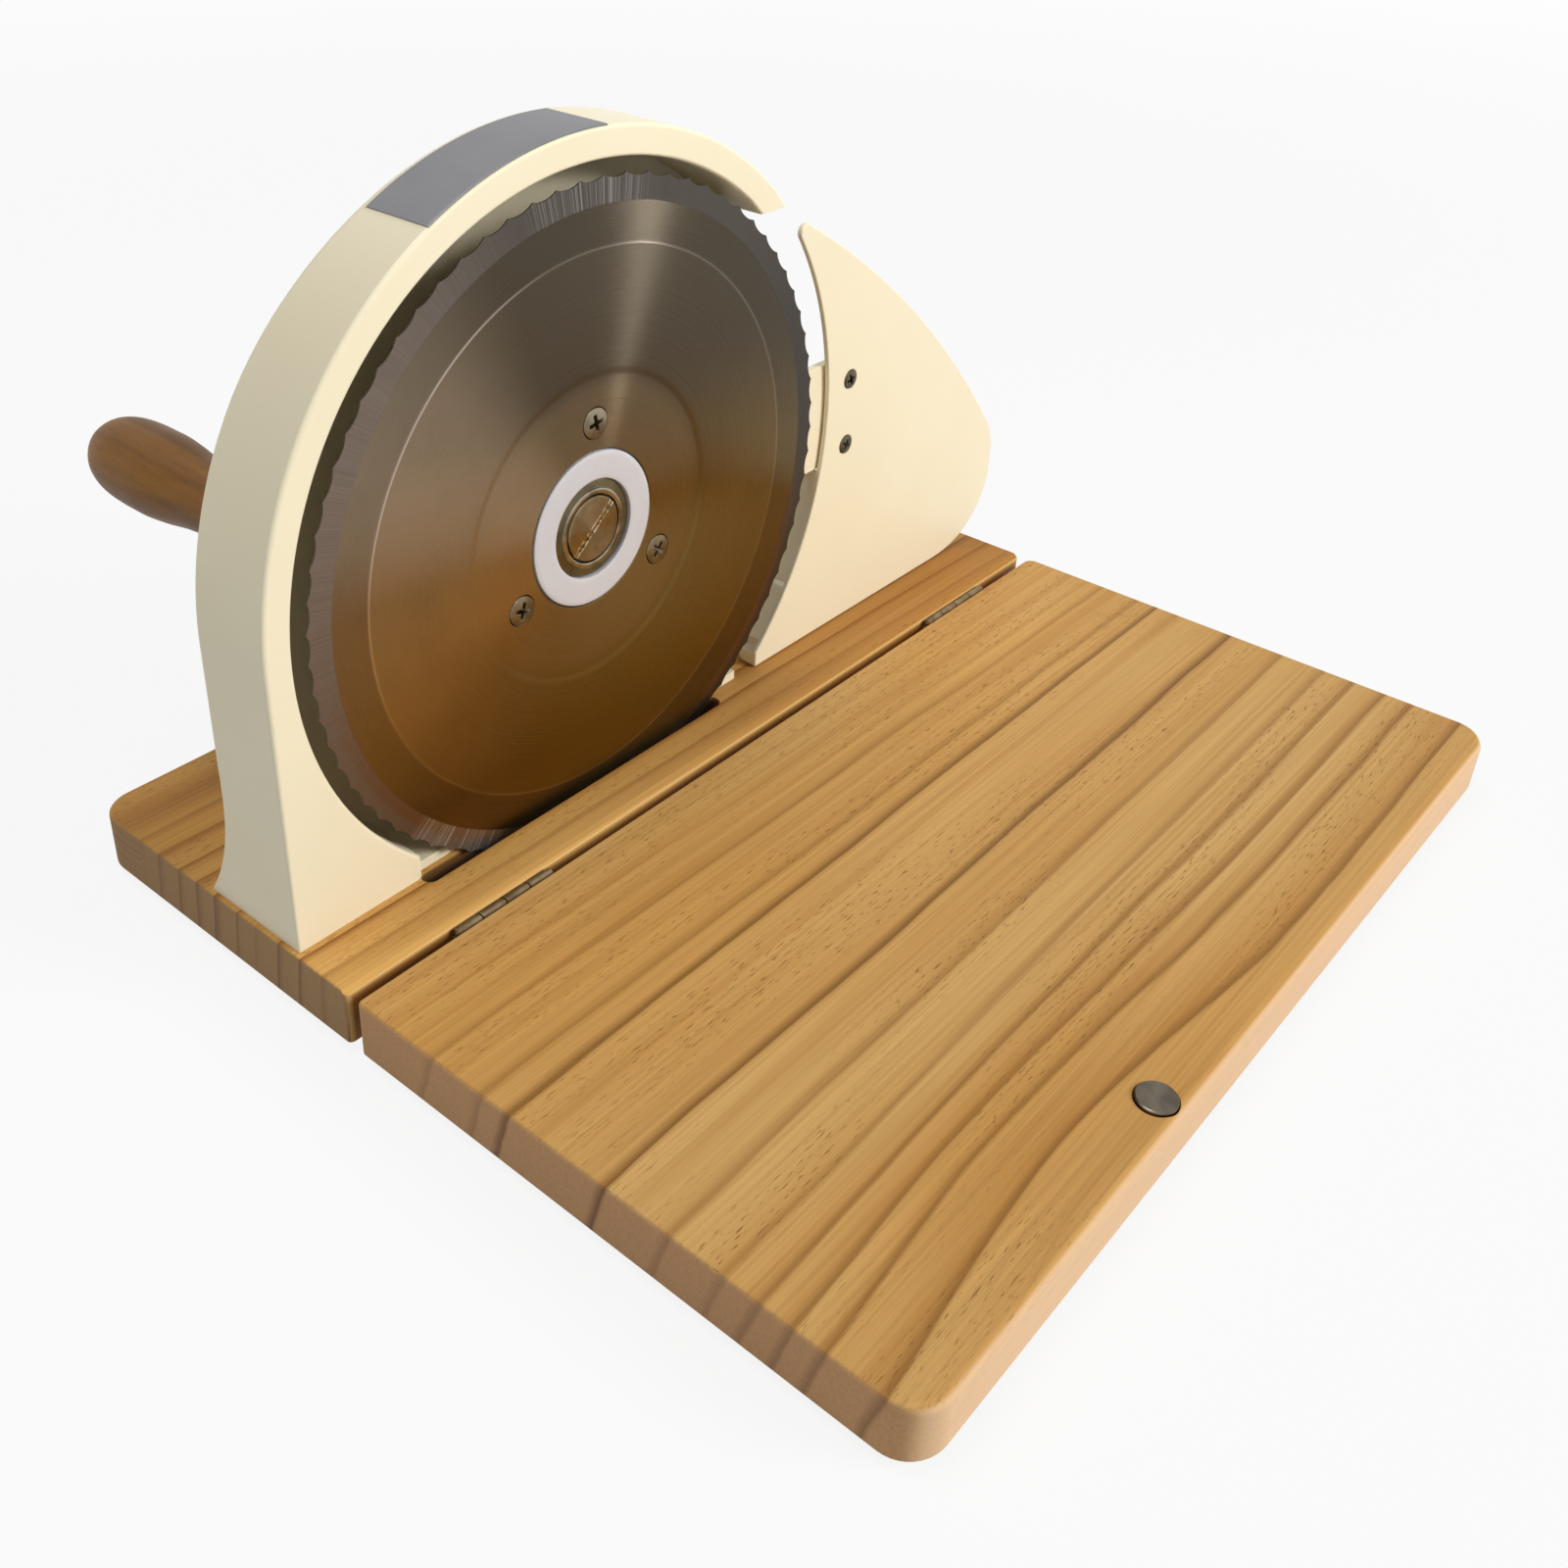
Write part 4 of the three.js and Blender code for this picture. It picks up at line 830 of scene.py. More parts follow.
def cut_out(piece, tools, overlapping):
    for tool in tools:
        cutter = stand("cutter", raw_mesh("cutter", [tool]))
        change = piece.modifiers.new("cut", "BOOLEAN")
        change.object = cutter
        change.solver = "EXACT"
        change.use_self = overlapping
        bpy.context.view_layer.update()
        seen = piece.evaluated_get(bpy.context.evaluated_depsgraph_get())
        result = bpy.data.meshes.new_from_object(seen)
        piece.modifiers.clear()
        piece.data = result
        bpy.data.objects.remove(cutter)


def break_edges(mesh, width, sharper_than, steps):
    shape = bmesh.new()
    shape.from_mesh(mesh)
    limit = math.radians(sharper_than)
    edges = [
        edge for edge in shape.edges if edge.is_manifold and edge.calc_face_angle(0) > limit
    ]
    bmesh.ops.bevel(
        shape, geom=edges, offset=width * MM, segments=steps, profile=0.5, affect="EDGES",
        clamp_overlap=True,
    )
    shape.to_mesh(mesh)
    shape.free()


print("cutting and edge tools ready:", cut_out.__name__, break_edges.__name__)

# %% Making a piece
CREASE = math.radians(38)
pieces_made = []


def make(
    name, parts, finish, node, place=None, tools=(), edge=0.0, sharper_than=40, steps=2, holes=(),
):
    piece = stand(name, raw_mesh(name, parts))
    cut_out(piece, tools, len(parts) > 1)
    if edge:
        break_edges(piece.data, edge, sharper_than, steps)
    cut_out(piece, holes, len(parts) > 1)
    mesh = piece.data
    mesh.name = name
    mesh.shade_smooth()
    mesh.set_sharp_from_angle(angle=CREASE)
    mesh.materials.clear()
    mesh.materials.append(finish)
    settle(piece, node, place)
    return piece


def settle(piece, node, place):
    piece.matrix_world = place or Matrix.Translation(zero)
    weighted = piece.modifiers.new("even_normals", "WEIGHTED_NORMAL")
    weighted.keep_sharp = True
    bpy.context.view_layer.update()
    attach(piece, frame["nodes"][node]["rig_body"])
    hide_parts(node)
    pieces_made.append(piece)


def put(x, y, z, turn=Matrix.Identity(4)):
    return Matrix.Translation(at(x, y, z)) @ turn


print("pieces made so far", len(pieces_made))

# %% [markdown]
# ## Screws
# Every screw is countersunk with a cross recess, in four sizes. Each size is turned once, its
# recess is cut with a tapered cross as a punch would press it, and the finished mesh is shared by
# all the screws of that size. They come first, because each one also leaves the tool that drills
# its own hole, which the boards and plates take away later. Without a hole, the recess would be
# full of wood or paint. A size is the head's radius and depth, then the shank's radius and
# length.

# %% Screw shapes
def screw_profile(head, depth, shank, length, crown):
    return [
        (0, -length), (shank * 0.6, -length), (shank, -length + 0.8), (shank, -depth),
        (head - 0.05, -0.35), (head, -0.2), (head - 0.1, 0),
        (head * 0.75, crown * 0.55), (head * 0.4, crown * 0.9), (0, crown),
    ]


def screw_hole(head, depth, shank, length):
    wide, narrow = head + 0.3, shank + 0.2
    return turned([
        (0, -length - 0.3), (narrow, -length - 0.3), (narrow, -depth - 0.2),
        (wide, -0.3), (wide, 3), (0, 3),
    ], 40)


def cross(reach, width, depth):
    def ring(long, half, height):
        arm = [(long, -half), (long, half), (half, half)]
        points = []
        for turn in range(4):
            matrix = Matrix.Rotation(math.pi / 2 * turn, 2)
            points += [(*(matrix @ Vector(point)), height) for point in arm]
        return points
    return loft([
        ring(reach * 0.35, width * 0.35, -depth),
        ring(reach, width, 0.1),
        ring(reach * 1.08, width, 1.0),
    ])


def screw_set(size, crown, finish, screws):
    head, depth, shank, length = size
    shared = None
    holes = []
    for node, spot, turn, spin in screws:
        spun = turn @ Matrix.Rotation(math.radians(spin), 4, "Z")
        holes.append(posed(screw_hole(*size), Matrix.Translation(spot) @ turn))
        if shared is None:
            recess = cross(head * 0.58, head * 0.14, head * 0.5)
            body = turned(screw_profile(head, depth, shank, length, crown), 40)
            first = make(
                "cross_" + node, [body], finish, node, put(*spot, spun),
                tools=[recess], edge=0.06, sharper_than=60, steps=1,
            )
            shared = first.data
            continue
        settle(stand("cross_" + node, shared), node, put(*spot, spun))
    print(len(screws), "screws with heads", head * 2, "mm across")
    return holes


print("a screw profile has", len(screw_profile(4, 2, 2, 9, 0.3)), "points")

# %% Screws in the blade and the plate
BLADE_SCREW, PLATE_SCREW = (4.3, 2.2, 2.0, 9.5), (3.05, 1.4, 1.5, 4.8)
BLADE_FACE = 24.1
screws = []
for i, spin in ((1, 12), (2, 50), (3, 74)):
    centre = middle(f"blade_screw_{i}")
    screws.append((f"blade_screw_{i}", (centre.x, BLADE_FACE - 0.15, centre.z), FRONT, spin))
blade_holes = screw_set(BLADE_SCREW, 0.35, blade_screw_steel, screws)
screws = []
for name, spin in (("upper", 20), ("lower", 64)):
    node = "fence_screw_" + name
    centre = middle(node)
    screws.append((node, (centre.x, span(node)[0].y - 0.1, centre.z), FRONT, spin))
plate_holes = screw_set(PLATE_SCREW, 0.3, dark_screw_steel, screws)

# %% Screws in the hinges and from below
HINGE_SCREW, BASE_SCREW = (2.3, 1.0, 1.2, 11.0), (4.4, 2.4, 2.2, 28.0)
leaf_screws = {"feed": [], "base": []}
for side, turn in (("feed", BACK), ("base", FRONT)):
    for place_name in ("left", "right"):
        for i in (1, 2):
            node = f"hinge_screw_{side}_{place_name}_{i}"
            low, high = span(node)
            centre = middle(node)
            face = high.y if side == "feed" else low.y
            leaf_screws[side].append((node, (centre.x, face, centre.z), turn, 31 * i))
leaf_holes = {
    side: screw_set(HINGE_SCREW, 0.0, screw_steel, found) for side, found in leaf_screws.items()
}
screws = []
from_below = [f"guard_screw_{i}" for i in (1, 2, 3)] + [f"pedestal_screw_{i}" for i in (1, 2)]
for node in from_below:
    centre = middle(node)
    screws.append((node, (centre.x, centre.y, span(node)[0].z), DOWN, 17 * len(screws)))
base_holes = screw_set(BASE_SCREW, 0.0, screw_steel, screws)

# %% [markdown]
# ## Two boards
# Each board is planed flat and its edges are rounded over with a router. A box with a bevel would
# round every edge alike, but here the free corners have a large radius, the hinge corners a small
# one, the long free edges are soft and the sawn ends are almost crisp. So each board is a loft of
# its own outline: near the top and bottom every side is drawn in along its own arc, given as how
# far it reaches and its radius. The slot for the blade, the magnet's seat and the screw holes are
# cut out afterwards.

# %% Rounded edges
def drop(edge):
    reach, radius = edge
    return radius - math.sqrt(radius ** 2 - reach ** 2)


def drawn_in(edge, depth):
    reach, radius = edge
    if depth >= drop(edge):
        return 0.0
    return reach - math.sqrt(radius ** 2 - (radius - depth) ** 2)


def quarter(*radii):
    return [(radius, radius) for radius in radii]


print("a 3 mm rounding is drawn in by", round(drawn_in((3.0, 3.0), 1.0), 2), "mm at 1 mm depth")

# %% Rounded boards
CORNER_STEPS, LEAST_ROUND = 10, 0.05


def board_ring(low, high, corners, insets, z):
    left, right, front, back = insets
    places = [
        (low.x, low.y, 1, 1, left, front, 180), (high.x, low.y, -1, 1, right, front, 270),
        (high.x, high.y, -1, -1, right, back, 0), (low.x, high.y, 1, -1, left, back, 90),
    ]
    ring = []
    for (x, y, to_right, to_back, inset_x, inset_y, start), radius in zip(places, corners):
        wide = max(radius - inset_x, LEAST_ROUND)
        deep = max(radius - inset_y, LEAST_ROUND)
        centre_x = x + to_right * (inset_x + wide)
        centre_y = y + to_back * (inset_y + deep)
        for px, py in arc(0, 0, 1, start, start + 90, CORNER_STEPS):
            ring.append((centre_x + wide * px, centre_y + deep * py, z))
    return ring


def rounded_board(low, high, corners, over, under, steps=9):
    def rounding(edges, z, inward):
        deepest = max(drop(edge) for edge in edges)
        rings = []
        for i in range(steps + 1):
            depth = deepest * (1 - math.cos(math.pi / 2 * i / steps))
            insets = [drawn_in(edge, depth) for edge in edges]
            rings.append(board_ring(low, high, corners, insets, z + inward * depth))
        return rings
    return loft(rounding(under, low.z, 1) + rounding(over, high.z, -1)[::-1])


def pill(x0, x1, y0, y1, low, high):
    radius = (y1 - y0) / 2
    y = (y0 + y1) / 2
    left = arc(x0 + radius, y, radius, 90, 270, 12)
    right = arc(x1 - radius, y, radius, -90, 90, 12)
    return upright(left + right, low, high)


print("board outline points", len(board_ring(*span("feed_board"), (10,) * 4, (0,) * 4, 0)))

# %% Feed board and base board
magnet_low, magnet_high = span("magnet")
magnet_x, magnet_y = middle("magnet").x, middle("magnet").y
magnet_radius = (magnet_high.x - magnet_low.x) / 2
seat_radius, seat_floor = magnet_radius + 0.3, magnet_low.z - 0.3
seat = turned([(0, seat_floor), (seat_radius, seat_floor), (seat_radius, 4), (0, 4)])
seat = posed(seat, Matrix.Translation((magnet_x, magnet_y, 0)))
feed_body = rounded_board(
    *span("feed_board"), corners=(10, 10, 3.5, 1.5),
    over=quarter(1.0, 1.0, 2.5, 0.6), under=quarter(0.8, 0.8, 1.5, 0.8),
)
feed_board = make(
    "feed_board_pine", [feed_body], feed_pine, "feed_board",
    tools=[seat], edge=0.25, sharper_than=60, holes=leaf_holes["feed"],
)
blade_slot = pill(SLOT_LEFT, SLOT_RIGHT, SLOT_FRONT, SLOT_BACK, -30, 10)
base_body = rounded_board(
    *span("base_board"), corners=(1.6, 2.5, 10, 10),
    over=quarter(0.8, 0.8) + [(3.2, 5.0)] + quarter(1.5), under=quarter(0.8, 0.8, 0.8, 0.8),
)
base_board = make(
    "base_board_pine", [base_body], base_pine, "base_board",
    tools=[blade_slot], edge=0.3, sharper_than=44, holes=leaf_holes["base"] + base_holes,
)
print("boards in faces:", len(feed_board.data.polygons), len(base_board.data.polygons))

# %% [markdown]
# ## Magnet and feet
# The magnet is a small nickel disc, pressed into the board and a hair proud of it. The six feet
# are rubber buttons with a soft lower edge and a shallow ring moulded in their soles. Both are
# turned.

# %% Magnet and feet
magnet_profile = [
    (0, magnet_low.z), (magnet_radius, magnet_low.z), (magnet_radius, magnet_high.z - 0.5),
    (magnet_radius - 0.15, magnet_high.z - 0.18), (magnet_radius - 0.5, magnet_high.z),
    (magnet_radius - 1.2, magnet_high.z - 0.04), (0, magnet_high.z - 0.05),
]
magnet_place = put(magnet_x, magnet_y, 0)
make("magnet_disc", [turned(magnet_profile, 64)], nickel, "magnet", magnet_place)
FOOT_PROFILE = [
    (0, 0.5), (3.6, 0.5), (4.0, 0.1), (4.6, 0), (6.6, 0),
    (7.4, 0.25), (7.9, 0.9), (8, 1.6), (8, 3.2), (0, 3.2),
]
FEET = ["base_front_left", "base_front_right", "base_back_left", "base_back_right"]
FEET += ["feed_left", "feed_right"]
for corner in FEET:
    node = "foot_" + corner
    centre = middle(node)
    foot_place = put(centre.x, centre.y, span(node)[0].z)
    make("rubber_" + node, [turned(FOOT_PROFILE)], rubber, node, foot_place)
print("magnet across in mm", round(magnet_radius * 2, 1), "feet", len(FEET))

# %% [markdown]
# ## Hinges
# Two steel hinges stand in the gap between the boards. A leaf is a stamped plate whose ends are
# rolled into knuckles, and a pin goes through the knuckles of both leaves. Each leaf is a plate,
# a web under each of its knuckles and the knuckles themselves, with the edges just broken.

# %% Hinges
def rod_along_x(x0, x1, y, z, radius, edge, steps=28):
    profile = [(0, x0), (radius - edge, x0), (radius, x0 + edge)]
    profile += [(radius, x1 - edge), (radius - edge, x1), (0, x1)]
    return posed(turned(profile, steps), Matrix.Translation((0, y, z)) @ RIGHT)


KNUCKLES, KNUCKLE_RADIUS, KNUCKLE_ROOM, LEAF = 4, 1.4, 0.22, 1.2
pin_y, pin_z = middle("hinge_pin_left").y, middle("hinge_pin_left").z
LEAF_GAP = 0.4
leaf_top = pin_z - KNUCKLE_RADIUS - LEAF_GAP
for place_name in ("left", "right"):
    pin_low, pin_high = span("hinge_pin_" + place_name)
    pitch = (pin_high.x - pin_low.x) / KNUCKLES
    for side, first in (("feed", 0), ("base", 1)):
        node = f"hinge_leaf_{side}_{place_name}"
        low, high = span(node)
        near, far = (low.y, low.y + LEAF) if side == "feed" else (high.y - LEAF, high.y)
        parts = [block(pin_low.x, pin_high.x, near, far, low.z, leaf_top)]
        for i in range(first, KNUCKLES, 2):
            left = pin_low.x + i * pitch + KNUCKLE_ROOM
            right = pin_low.x + (i + 1) * pitch - KNUCKLE_ROOM
            parts.append(block(left, right, near, far, leaf_top - 1, pin_z))
            parts.append(rod_along_x(left, right, pin_y, pin_z, KNUCKLE_RADIUS, 0.2))
        make(
            "steel_" + node, parts, hinge_steel, node,
            edge=0.15, sharper_than=80, steps=1, holes=leaf_holes[side],
        )
    pin = rod_along_x(pin_low.x, pin_high.x, pin_y, pin_z, (pin_high.z - pin_low.z) / 2, 0.25)
    make("steel_hinge_pin_" + place_name, [pin], hinge_steel, "hinge_pin_" + place_name)
print("knuckle pitch in mm", round(pitch, 2))

# %% [markdown]
# ## The guard
# The guard is one casting: a deep rim round the blade, a flat back wall, bearing bosses, and a
# foot that flares towards the back. Its rim could be a swept curve, but the section changes: the
# rounded front corner fades to a crisp one at the foot, and the back swells out. So it is a loft,
# and every ring knows its inner and outer end. Points near an end are measured from it, which
# keeps the corner radii true while the foot grows wide.

# %% Guard sizes
AXIS_X, AXIS_Z = middle("blade").x, middle("blade").z
low, high = span("guard")
GUARD_FRONT, GUARD_LEFT, GUARD_LOW = low.y, low.x, low.z - 0.25
INNER, OUTER = 98.5, 106.5
GUARD_BACK = GUARD_FRONT + 25.4
END_RISE = 72.3
TOE_X = 42.0
FLARE_TOP, FLARE_CURVE = 45.0, 2.6
FLARE = high.y - GUARD_BACK
SHOULDER_LOW, SHOULDER_HEIGHT = 135, 50
INNER_ROUND, FRONT_ROUND, FOOT_ROUND = 1.2, 1.3, 0.7
PROUD = 1.2


def shoulder(z):
    share = min(max((z - SHOULDER_LOW) / SHOULDER_HEIGHT, 0), 1)
    return share * share * (3 - 2 * share)


def flare_share(z):
    return min(max((z - GUARD_LOW) / (FLARE_TOP - GUARD_LOW), 0), 1)


def flare_back(z):
    return GUARD_BACK + FLARE * (1 - flare_share(z)) ** FLARE_CURVE


print("guard depth in mm", GUARD_BACK - GUARD_FRONT, "flare", round(FLARE, 1))

# %% Section of the rim
def rim_section(inner, outer, front_round, shrink=0.0):
    reach = Vector(outer) - Vector(inner)
    width = reach.length
    along = reach / width
    section = []

    def add(distance, depth, from_back):
        x, z = Vector(inner) + along * distance
        proud = PROUD * flare_share(z) * (1 - shoulder(z)) * distance / width
        y = flare_back(z) + proud - depth if from_back else GUARD_FRONT + depth
        section.append((x, y, z))

    back_round = 1.6 + 1.8 * shoulder(outer[1])
    add(0, 0, True)
    for px, py in arc(INNER_ROUND, INNER_ROUND, INNER_ROUND, 180, 270, 4):
        add(px, py, False)
    for px, py in arc(width - front_round, front_round, front_round, 270, 360, 6):
        add(px, py, False)
    for px, py in arc(width - back_round, back_round, back_round, 0, -90, 4):
        add(px, py, True)
    centre = Vector([sum(values) for values in zip(*section)]) / len(section)
    return [tuple(Vector(p) + (centre - Vector(p)).normalized() * shrink) for p in section]


print("points in a section", len(rim_section((INNER, 0), (OUTER, 0), FRONT_ROUND)))

# %% [markdown]
# The rings run from the cut end of the arch over the top to its left side, and then down the
# foot. On the arch each ring lies on a radius, and at the end they turn until the last one lies
# level. On the foot the outer end slides down the straight side while the inner end keeps to the
# circle.

# %% Guard rim and foot
def on_circle(radius, degrees):
    turn = math.radians(degrees)
    return AXIS_X + radius * math.cos(turn), AXIS_Z + radius * math.sin(turn)


def end_angle(radius):
    return math.degrees(math.asin(END_RISE / radius))


ARCH_RINGS, FOOT_RINGS = 72, 22
toe_angle = 360 - math.degrees(math.acos((TOE_X - AXIS_X) / INNER))
rings = []
cut_end = [on_circle(radius, end_angle(radius)) for radius in (INNER, OUTER)]
for shrink, lowered in ((0.6, 0.0), (0.25, 0.12), (0.0, 0.5)):
    section = rim_section(*cut_end, FRONT_ROUND, shrink)
    rings.append([(x, y, z - lowered) for x, y, z in section])
for k in range(2, ARCH_RINGS + 1):
    share = k / ARCH_RINGS
    ends = []
    for radius in (INNER, OUTER):
        first = end_angle(radius)
        ends.append(on_circle(radius, first + (180 - first) * share))
    rings.append(rim_section(*ends, FRONT_ROUND))
for k in range(1, FOOT_RINGS + 1):
    share = k / FOOT_RINGS
    inner = on_circle(INNER, 180 + (toe_angle - 180) * share)
    outer = (GUARD_LEFT, AXIS_Z + (GUARD_LOW + 0.4 - AXIS_Z) * share)
    rings.append(rim_section(inner, outer, FRONT_ROUND + (FOOT_ROUND - FRONT_ROUND) * share))
rings.append(rim_section((TOE_X, GUARD_LOW), (GUARD_LEFT, GUARD_LOW), FOOT_ROUND))
rim = loft(rings)
print("rim rings", len(rings), "points in a ring", len(rings[0]))

# %% [markdown]
# The wall closes the back of the rim. It stops at the rim's inner circle and lies flush with its
# back, so the two read as one face. A lip stiffens its free edge, a floor carries it on the
# board, and the bosses hold the axle and the crank.

# %% Guard wall
WALL, LIP_INSET = 4, 3
WEB_LEFT, WEB_RINGS, FLUSH = 12, 15, 0.02
wall_right = AXIS_X + math.sqrt(INNER ** 2 - END_RISE ** 2)
wall_top = AXIS_Z + END_RISE
wall = slab(
    [(wall_right - LIP_INSET, GUARD_LOW), (TOE_X - 4, GUARD_LOW)]
    + arc(AXIS_X, AXIS_Z, INNER, toe_angle - 1.5, end_angle(INNER), 64)
    + [(wall_right - LIP_INSET, wall_top)],
    GUARD_BACK - WALL, GUARD_BACK,
)
lip_section = [(wall_right - LIP_INSET, GUARD_BACK)]
lip_section += arc(wall_right - 1, GUARD_BACK - 1, 1, 90, 0, 4)
lip_section += arc(wall_right - 1, GUARD_BACK - 9, 1, 0, -90, 4)
lip_section += arc(wall_right - 2, GUARD_BACK - 9, 1, -90, -180, 4)
lip = upright(lip_section, GUARD_LOW, wall_top)
floor_plate = block(TOE_X - 1, wall_right - 0.4, 26.6, GUARD_BACK - 3, GUARD_LOW, 3.0)
flare_web = []
web_right = TOE_X - FLUSH
for i in range(WEB_RINGS):
    z = GUARD_LOW + (FLARE_TOP - GUARD_LOW) * i / (WEB_RINGS - 1)
    near, far = GUARD_BACK - 2, flare_back(z) - FLUSH
    flare_web.append([
        (WEB_LEFT, near, z), (web_right, near, z), (web_right, far, z), (WEB_LEFT, far, z),
    ])
print("wall right edge in mm", round(wall_right, 1), "top", round(wall_top, 1))

# %% Guard bosses
BOSS_FRONT = 41.1
SCREW_BOSS = [(0, 0.4), (6.2, 0.4), (6.2, 13.4), (5.6, 14), (0, 14)]
SCREW_BOSS_PLACE = (164.1, 38.4, 0)
crank_centre = middle("crank_shaft")


def boss(radius, bore, front, back, x, z):
    profile = [(bore, -front), (radius, -front), (radius, -back + 0.8)]
    profile += [(radius - 0.25, -back + 0.25), (radius - 0.8, -back), (bore, -back), (bore, -front)]
    return posed(turned(profile, 48), Matrix.Translation((x, 0, z)) @ FRONT)


axle_boss = boss(15.0, 6.3, BOSS_FRONT, 49.0, AXIS_X, AXIS_Z)
crank_boss = boss(13.0, 8.4, BOSS_FRONT, 56.1, crank_centre.x, crank_centre.z)
screw_boss = posed(turned(SCREW_BOSS, 32), Matrix.Translation(SCREW_BOSS_PLACE))
guard_parts = [rim, wall, lip, floor_plate, loft(flare_web), axle_boss, crank_boss, screw_boss]
guard = make("cream_guard", guard_parts, cream, "guard")
print("guard faces", len(guard.data.polygons))

# %% [markdown]
# ## The plate on the rim
# A thin bare plate is stuck over the top of the rim and pressed down round its front corner. It
# follows the curve between two angles, so it is a loft of one small section, whose front end
# bends with the same radius as the corner below it.

# %% Plate on the rim
PLATE_START, PLATE_SWEEP, PLATE_BEND, PLATE_RINGS = 86.5, 32.0, 30.0, 41
PLATE_BACK_EDGE = GUARD_BACK - 3.6


def plate_edge(lift):
    corner = OUTER - FRONT_ROUND, GUARD_FRONT + FRONT_ROUND
    bent = arc(*corner, FRONT_ROUND + lift, -PLATE_BEND, 0, 6)
    return bent + [(OUTER + lift, PLATE_BACK_EDGE - 0.3), (OUTER + lift * 0.7, PLATE_BACK_EDGE)]


plate_rings = []
section = plate_edge(0.30) + plate_edge(0.05)[::-1]
for k in range(PLATE_RINGS):
    degrees = PLATE_START + PLATE_SWEEP * k / (PLATE_RINGS - 1)
    ring = []
    for radius, y in section:
        px, pz = on_circle(radius, degrees)
        ring.append((px, y, pz))
    plate_rings.append(ring)
make("rim_plate_foil", [loft(plate_rings)], foil, "rim_plate")
print("plate length in mm", round(math.radians(PLATE_SWEEP) * OUTER, 1))

# %% [markdown]
# ## The blade
# The disc is dished: flat round the hub, a low step, a cone that rises to a ridge, and a ground
# bevel out to the teeth. It could be turned on the lathe builder, but its edge has 74 pointed
# scallops, so it is a polar grid: every ring has eight points to a tooth, and the outer rings
# follow the scallops.

# %% Blade
TEETH, TOOTH_DEPTH, PER_TOOTH = 74, 1.0, 8
BLADE_RADIUS, SCALLOPS_FROM = 95.0, 90
hub_rows = [(22.7, -0.2), (22.9, 0), (30, 0), (42.6, 0), (43.6, 0.10), (44.6, 0.28)]
cone_rows = [(45.4, 0.34), (56, 0.64), (66, 0.91), (76.5, 1.17), (77.0, 1.19)]
ridge_rows = [(RIDGE, 1.23), (77.6, 1.17), (78.4, 1.15)]
bevel_rows = [(87.6, 1.02), (88.2, 0.97), (SCALLOPS_FROM, 0.88)]
edge_rows = [(0.75, 0.5), (0.62, 1.0), (0.22, 1.0)]
back_rows = [(SCALLOPS_FROM, 0.10), (88, -0.4), (66, -0.73), (45, -1.1), (43, -1.4), (22.9, -1.4)]


def scallop(i):
    share = (i % PER_TOOTH) / PER_TOOTH
    return BLADE_RADIUS - TOOTH_DEPTH * (1 - abs(2 * share - 1) ** 2.2)


def blade_row(radius, height, edge_share=0.0):
    row = []
    count = TEETH * PER_TOOTH
    for i in range(count):
        angle = 2 * math.pi * i / count
        reach = radius + (scallop(i) - radius) * edge_share
        row.append((reach * math.cos(angle), reach * math.sin(angle), height))
    return row


rows = [blade_row(*row) for row in hub_rows + cone_rows + ridge_rows + bevel_rows]
rows += [blade_row(SCALLOPS_FROM, height, share) for height, share in edge_rows]
rows += [blade_row(*row) for row in back_rows]
blade_place = put(AXIS_X, BLADE_FACE, AXIS_Z, FRONT)
to_blade = (Matrix.Translation((AXIS_X, BLADE_FACE, AXIS_Z)) @ FRONT).inverted()
drilled = [posed(hole, to_blade) for hole in blade_holes]
blade = make(
    "serrated_blade", [loft(rows, closed=True)], blade_steel, "blade", blade_place, holes=drilled,
)
print("blade points", len(blade.data.vertices), "teeth", TEETH)

# %% [markdown]
# ## Hub of the blade
# The gear's nylon boss comes through the blade as a white ring with soft edges. Inside it sit a
# steel washer with a raised lip and a wide slotted screw that holds the blade on its axle. All
# are turned about the blade's axis, so they share one place, and heights count forward from the
# blade's hub face. Behind the blade the gear runs with a pinion of half its size. Straight-sided
# teeth would bind, so both get the involute flanks of real gears, and one outline function serves
# the two.

# %% Gears
GEAR_MODULE, GEAR_TEETH, PINION_TEETH = 1.5, 50, 25
PRESSURE = math.radians(20)
ADDENDUM, DEDENDUM, THINNING = 0.95, 1.25, 0.3


def gear_outline(teeth, phase):
    pitch = GEAR_MODULE * teeth / 2
    base = pitch * math.cos(PRESSURE)
    half = math.pi / (2 * teeth) - THINNING / (2 * pitch)

    def flank(radius):
        lean = math.acos(min(1, base / radius))
        return half + (math.tan(PRESSURE) - PRESSURE) - (math.tan(lean) - lean)

    root, top = pitch - GEAR_MODULE * DEDENDUM, pitch + GEAR_MODULE * ADDENDUM
    radii = [root, pitch - 0.6, pitch + 0.4, top]
    outline = []
    for tooth in range(teeth):
        centre = phase + 2 * math.pi * tooth / teeth
        turns = [(r, centre - flank(r)) for r in radii]
        turns += [(r, centre + flank(r)) for r in reversed(radii)]
        outline += [(r * math.cos(a), r * math.sin(a)) for r, a in turns]
    return outline


print("gear reach in mm", round(GEAR_MODULE * (GEAR_TEETH / 2 + ADDENDUM), 2))

